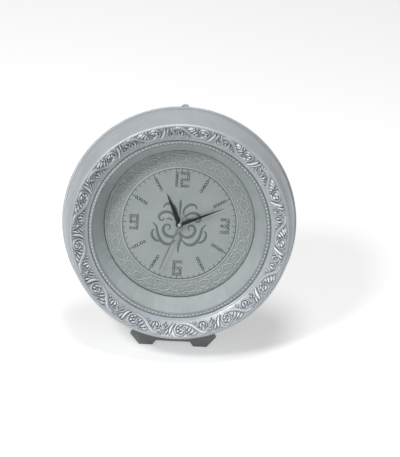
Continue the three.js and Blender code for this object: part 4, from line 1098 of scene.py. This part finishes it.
def cut_gem(x, y, turn):
    """A stone with a flat table and two rows of facets."""
    points = []
    for k, (radius, level) in enumerate(GEM_RINGS):
        for i in range(GEM_SIDES):
            a = turn + (i + 0.5 * (k % 2)) * FULL_TURN / GEM_SIDES
            points.append((x + radius * math.cos(a), y + radius * math.sin(a), GEM_SEAT + level))
    return points, grid_faces(len(GEM_RINGS), GEM_SIDES) + end_faces(len(GEM_RINGS), GEM_SIDES)


def setting_cup(solid, x, y):
    """A round cup with a rolled rim and claws that holds one stone."""
    solid.lathe(CUP_PROFILE, CUP_SEGMENTS, x, y)
    for k in range(CLAW_COUNT):
        a = (k + 0.5) * FULL_TURN / CLAW_COUNT
        claw_x, claw_y = x + CLAW_CIRCLE * math.cos(a), y + CLAW_CIRCLE * math.sin(a)
        solid.lathe(CLAW_PROFILE, CLAW_SEGMENTS, claw_x, claw_y)


def marker_pieces(hour):
    bearing = hour * FULL_TURN / 12
    cx, cy = MARKER_RADIUS * math.sin(bearing), MARKER_RADIUS * math.cos(bearing)
    setting, stones = Solid(), Solid()
    for index, (x, y) in enumerate(stone_places(hour)):
        setting_cup(setting, cx + x, cy + y)
        stones.add(*cut_gem(cx + x, cy + y, GEM_TURN * index + hour))
    cups = setting.build(f"marker_{hour}_setting")
    set_painted_light_and_patina(cups)
    finish_piece(cups, "clock", SETTING_GREY, [f"marker_{hour}"], sharp=35)
    finish_piece(stones.build(f"marker_{hour}_stones"), "clock", STONE, sharp=3)


# Hands

def hand_blade(solid, blade, back):
    """A pressed blade along y, with a raised middle line."""
    points = []
    flank, flank_rise = BLADE_FLANK
    edge = back + BLADE_WALL * BLADE_EDGE
    shoulder = back + BLADE_WALL * flank_rise
    for y, half in blade:
        points += [
            (-half, y, back),
            (half, y, back),
            (half, y, edge),
            (half * flank, y, shoulder),
            (0.0, y, back + BLADE_WALL + BLADE_RIDGE),
            (-half * flank, y, shoulder),
            (-half, y, edge),
        ]
    columns = len(points) // len(blade)
    solid.add(points, grid_faces(len(blade), columns) + end_faces(len(blade), columns))


def hand_piece(node, body, slot, material, angle, blade, back, hub, rise):
    solid = Solid()
    hand_blade(solid, blade, back)
    front = back + rise
    boss = [(0.0, front), (hub * HUB_FACE, front), (hub, front - HUB_BEVEL), (hub, back), (0.0, back)]
    solid.lathe(boss, SMALL_SEGMENTS)
    solid.points = turned(solid.points, angle)
    return finish_piece(solid.build(f"{node}_blade"), body, material, [node], sharp=25)


def hands():
    black = ("hand_black", HAND_BLACK)
    silver = ("hand_silver", HAND_SILVER)
    hand_piece("hour_hand", "hour_group", *black, HOUR_ANGLE, HOUR_BLADE, *HOUR_HUB)
    hand_piece("minute_hand", "minute_group", *black, MINUTE_ANGLE, MINUTE_BLADE, *MINUTE_HUB)
    hand_piece("second_hand", "second_group", *silver, SECOND_ANGLE, SECOND_BLADE, *SECOND_HUB)


def hand_cap():
    obj = Solid().lathe(CAP_PROFILE, TURNED_SEGMENTS).build("hand_cap")
    return finish_piece(obj, "second_group", CAP_SILVER)


# Rear fittings

def rear_piece(solid, name, body, material, replaced=()):
    obj = new_object(name, [(-x, y, -z) for x, y, z in solid.points], solid.faces)
    return finish_piece(obj, body, material, replaced)


def cross_outline(radius):
    """The recess of a cross-head screw: 24 points, clockwise."""
    arm, half = radius * CROSS_ARM, radius * CROSS_HALF
    points = []
    for quarter in range(4):
        points += turned([(-half, arm), (half, arm), (half, half)], quarter * FULL_TURN / 4)
    closed = points + points[:1]
    return [q for a, b in zip(points, closed[1:]) for q in (a, ((a[0] + b[0]) / 2, (a[1] + b[1]) / 2))]


def cross_screw(solid, x, y, seat, radius, rise, turn):
    """A domed screw head with a sunk cross."""
    cross = np.array(cross_outline(radius))
    bearing = np.arctan2(cross[:, 0], cross[:, 1])
    rim = np.stack([np.sin(bearing), np.cos(bearing)], -1) * radius
    floor, brim = CROSS_LEVELS
    rows = [(cross * CROSS_FLOOR, floor), (cross, brim)]
    rows += [(rim * reach, share) for reach, share in SCREW_STEPS]
    points = [(px, py, seat + rise * share) for flat, share in rows for px, py in flat]
    faces = grid_faces(len(rows), len(cross)) + end_faces(len(rows), len(cross))
    solid.add([(px + x, py + y, z) for px, py, z in turned(points, turn)], faces)


def panel_screws():
    start, step = PANEL_SCREW_TURN
    for index in range(4):
        # seen from behind, the node's side comes out the other way round
        bearing = math.radians(45 + 90 * index)
        x, y = -PANEL_SCREW_CIRCLE * math.cos(bearing), PANEL_SCREW_CIRCLE * math.sin(bearing)
        solid = Solid()
        cross_screw(solid, x, y, *PANEL_SCREW, turn=start + step * index)
        node = f"panel_screw_{index + 1}"
        rear_piece(solid, f"panel_screw_head_{index + 1}", "clock", STEEL, [node])


def stand_screws():
    solid = Solid()
    for side in (-1, 1):
        for x, y, kind, turn, way in STAND_SCREWS:
            cross_screw(solid, side * x, y, *kind, turn=turn + way * side)
    cross_screw(solid, *TAB_SCREW_PLACE, *TAB_SCREW, turn=TAB_SCREW_TURN)
    rear_piece(solid, "stand_screws", "clock", STEEL)


def tab_rim():
    rear_piece(Solid().lathe(TAB_RIM, SMALL_SEGMENTS, *TAB_EYE), "tab_eye_rim", "clock", STEEL)


def from_knob(points, half_width):
    """Points about the knob as a line for ribbon."""
    return [(x + KNOB_PLACE[0], y + KNOB_PLACE[1], half_width) for x, y in points]


def knob_face():
    """The dished grip on the setting knob's end."""
    solid = Solid().lathe([(r, KNOB_FACE + rise) for r, rise in KNOB_GRIP], SMALL_SEGMENTS, *KNOB_PLACE)
    for index in range(2):
        line = turned([(0.0, y) for y in KNOB_LINE], index * FULL_TURN / 2)
        ribbon(solid, from_knob(line, KNOB_LINE_HALF_WIDTH), KNOB_LINE_RISE, KNOB_FACE + KNOB_LINE_SEAT)
    rear_piece(solid, "knob_face", "knob_group", WHITE_MOULDING)


def turning_arrow(solid, start):
    """A raised arrow round the knob, from start on clockwise."""
    sweep = [start + ARROW_SWEEP * k / ARROW_STEPS for k in range(ARROW_STEPS + 1)]
    lines = [[(ARROW_RADIUS, a) for a in sweep]]
    for radius in BARB_RADII:
        radii = (ARROW_RADIUS, (ARROW_RADIUS + radius) / 2, radius)
        lines.append([(r, sweep[-1] + a) for r, a in zip(radii, BARB_ANGLES)])
    for line in lines:
        points = [(r * math.sin(a), r * math.cos(a)) for r, a in line]
        ribbon(solid, from_knob(points, ARROW_HALF_WIDTH), MARK_RISE, COVER_FACE)


def cover_marks():
    """Raised turning arrows round the knob, the cell's plus and minus, and the cover's two screws."""
    solid = Solid()
    for start in (ARROW_START, ARROW_START + FULL_TURN / 2):
        turning_arrow(solid, start)
    for sign in SIGNS:
        ribbon(solid, [(x, y, SIGN_HALF_WIDTH) for x, y in sign], MARK_RISE, COVER_FACE)
    reach, y = COVER_SCREW_PLACE
    for x in (-reach, reach):
        cross_screw(solid, x, y, *COVER_SCREW, turn=x)
    rear_piece(solid, "cover_marks", "clock", CASE_BLACK)


def cell_part(name, profile, material, replaced=()):
    """A part of the cell, from a profile of (place along x, radius)."""
    y, z = CELL_MIDDLE
    points, faces = lathe_parts([(radius, x) for x, radius in profile], TURNED_SEGMENTS)
    solid = Solid().add([(-level, py + y, px + z) for px, py, level in points], faces)
    rear_piece(solid, name, "clock", material, replaced)


def dry_cell():
    """The cell: a lacquered jacket shrunk over the ends of a steel can."""
    cell_part("cell_jacket", CELL_JACKET, CELL_GREEN, ["battery"])
    cell_part("cell_can", CELL_CAN, STEEL)


# Carried-over nodes get their finishes

NODE_FINISHES = [
    (CASE_BLACK, ["movement_case", "movement_cover"]),
    (RUBBER, ["rubber_washer"]),
    (BRASS, ["brass_washer", "fixing_nut"]),
    (WHITE_MOULDING, ["hour_wheel", "centre_wheel", "second_wheel", "minute_wheel", "third_wheel"]),
    (WHITE_MOULDING, ["intermediate_wheel", "rotor", "setting_knob"]),
    (STEEL, ["stator", "quartz_crystal", "battery_contact_plus", "battery_contact_minus"]),
    (STEEL, ["panel_screw_1", "panel_screw_2", "panel_screw_3", "panel_screw_4"]),
    (STEEL, ["hinge_pin", "hanging_tab"]),
    (CELL_GREEN, ["battery"]),
    (COPPER, ["coil"]),
    (BOARD_GREEN, ["circuit_board"]),
    (PANEL_DARK, ["back_panel"]),
    (FOOT_GREY, ["stand_foot", "hinge_bracket", "prop_leg"]),
]


def finish_nodes():
    for material, names in NODE_FINISHES:
        for name in names:
            mesh = frame["nodes"][name].data
            mesh.materials.clear()
            mesh.materials.append(material)


# Camera: the photograph's view, with the dial's centre at the pixel where the hands turn

IMAGE_WIDTH, IMAGE_HEIGHT = 400, 457
HUB_PIXEL = (179.4, 224.0)
FOCAL_PIXELS = 2350
VIEW_RISE = math.radians(13.5)
VIEW_SIDE = math.radians(-1.2)
VIEW_ROLL = math.radians(3.1)
VIEW_DISTANCE_M = 3.0
SENSOR_MM = 36.0


def view_axes():
    """The view's right, up and backward directions."""
    level = math.cos(VIEW_SIDE) * OUT + math.sin(VIEW_SIDE) * RIGHT
    back = math.sin(VIEW_RISE) * UP + math.cos(VIEW_RISE) * level
    up = math.cos(VIEW_RISE) * UP - math.sin(VIEW_RISE) * level
    across = up.cross(back)
    rolled_across = math.cos(VIEW_ROLL) * across + math.sin(VIEW_ROLL) * up
    rolled_up = math.cos(VIEW_ROLL) * up - math.sin(VIEW_ROLL) * across
    return rolled_across, rolled_up, back


def add_camera():
    axes = view_axes()
    hub = Vector((HUB_PIXEL[0] - IMAGE_WIDTH / 2, IMAGE_HEIGHT / 2 - HUB_PIXEL[1], -FOCAL_PIXELS))
    aim = hub.normalized().rotation_difference(Vector((0, 0, -1))).to_matrix()
    turn = Matrix(axes).transposed() @ aim
    camera = add_object("camera", bpy.data.cameras.new("camera"))
    camera.data.sensor_width = SENSOR_MM
    camera.data.lens = FOCAL_PIXELS * SENSOR_MM / IMAGE_HEIGHT
    camera.matrix_world = Matrix.Translation(CENTRE + axes[2] * VIEW_DISTANCE_M) @ turn.to_4x4()
    bpy.context.scene.camera = camera


# Floor, world and lamps, in metres and watts

FLOOR_HALF = 6.0
FLOOR_TONE = (0.9, 0.9, 0.9, 1)
FLOOR_GLOW = 0.45
FLOOR_ROUGHNESS = 0.9
FLOOR_SPECULAR = 0.1
WORLD_LEVEL = 0.12
WHITE = (1, 1, 1, 1)
LAMPS = [
    ("key_lamp", (-1.1, -1.3, 1.9), 0.55, 28),
    ("top_lamp", (0.0, -0.35, 2.3), 0.8, 21),
    ("low_lamp", (-0.5, -2.55, 0.25), 0.8, 12),
]


def seen_directly(tree):
    """One where a ray comes from the camera, a reflection or a clear body, and zero elsewhere."""
    path = add_node(tree, "LightPath")
    total = path.outputs["Is Camera Ray"]
    for other in ("Is Glossy Ray", "Is Transmission Ray"):
        total = add_math(tree, "MAXIMUM", total, path.outputs[other])
    return total


def add_floor():
    """A pale floor that looks white to the camera and still shows the object's shadow."""
    corners = [(-1, -1), (1, -1), (1, 1), (-1, 1)]
    mesh = bpy.data.meshes.new("floor")
    mesh.from_pydata([(x * FLOOR_HALF, y * FLOOR_HALF, 0) for x, y in corners], [], [(0, 1, 2, 3)])
    shader = Shader("floor_white", FLOOR_ROUGHNESS, Base_Color=FLOOR_TONE, Emission_Color=WHITE)
    glow = add_math(shader.tree, "MULTIPLY", seen_directly(shader.tree), FLOOR_GLOW)
    shader.set(Specular_IOR_Level=FLOOR_SPECULAR, Emission_Strength=glow)
    mesh.materials.append(shader.material)
    add_object("floor", mesh)


def add_world():
    world = bpy.data.worlds.new("studio")
    bpy.context.scene.world = world
    world.use_nodes = True
    tree = world.node_tree
    level = add_node(tree, "MapRange", Value=seen_directly(tree), To_Min=WORLD_LEVEL, To_Max=1.0)
    background = next(n for n in tree.nodes if n.type == "BACKGROUND")
    set_sockets(tree, background, Color=WHITE, Strength=level.outputs["Result"])


def add_lamp(name, place, size, power):
    """A round soft lamp that faces the dial's centre."""
    lamp = bpy.data.lights.new(name, "AREA")
    lamp.shape = "DISK"
    lamp.size = size
    lamp.energy = power
    obj = add_object(name, lamp)
    obj.location = place
    obj.rotation_euler = (CENTRE - Vector(place)).to_track_quat("-Z", "Y").to_euler()


shell_piece()
carved_border()
reflector()
bead_ring()
dial_plate()
inlay_piece()
for hour in range(1, 13):
    marker_pieces(hour)
hands()
hand_cap()
panel_screws()
stand_screws()
tab_rim()
knob_face()
cover_marks()
dry_cell()
finish_nodes()

add_camera()
add_floor()
add_world()
for lamp in LAMPS:
    add_lamp(*lamp)
bpy.context.scene.view_settings.view_transform = "Standard"
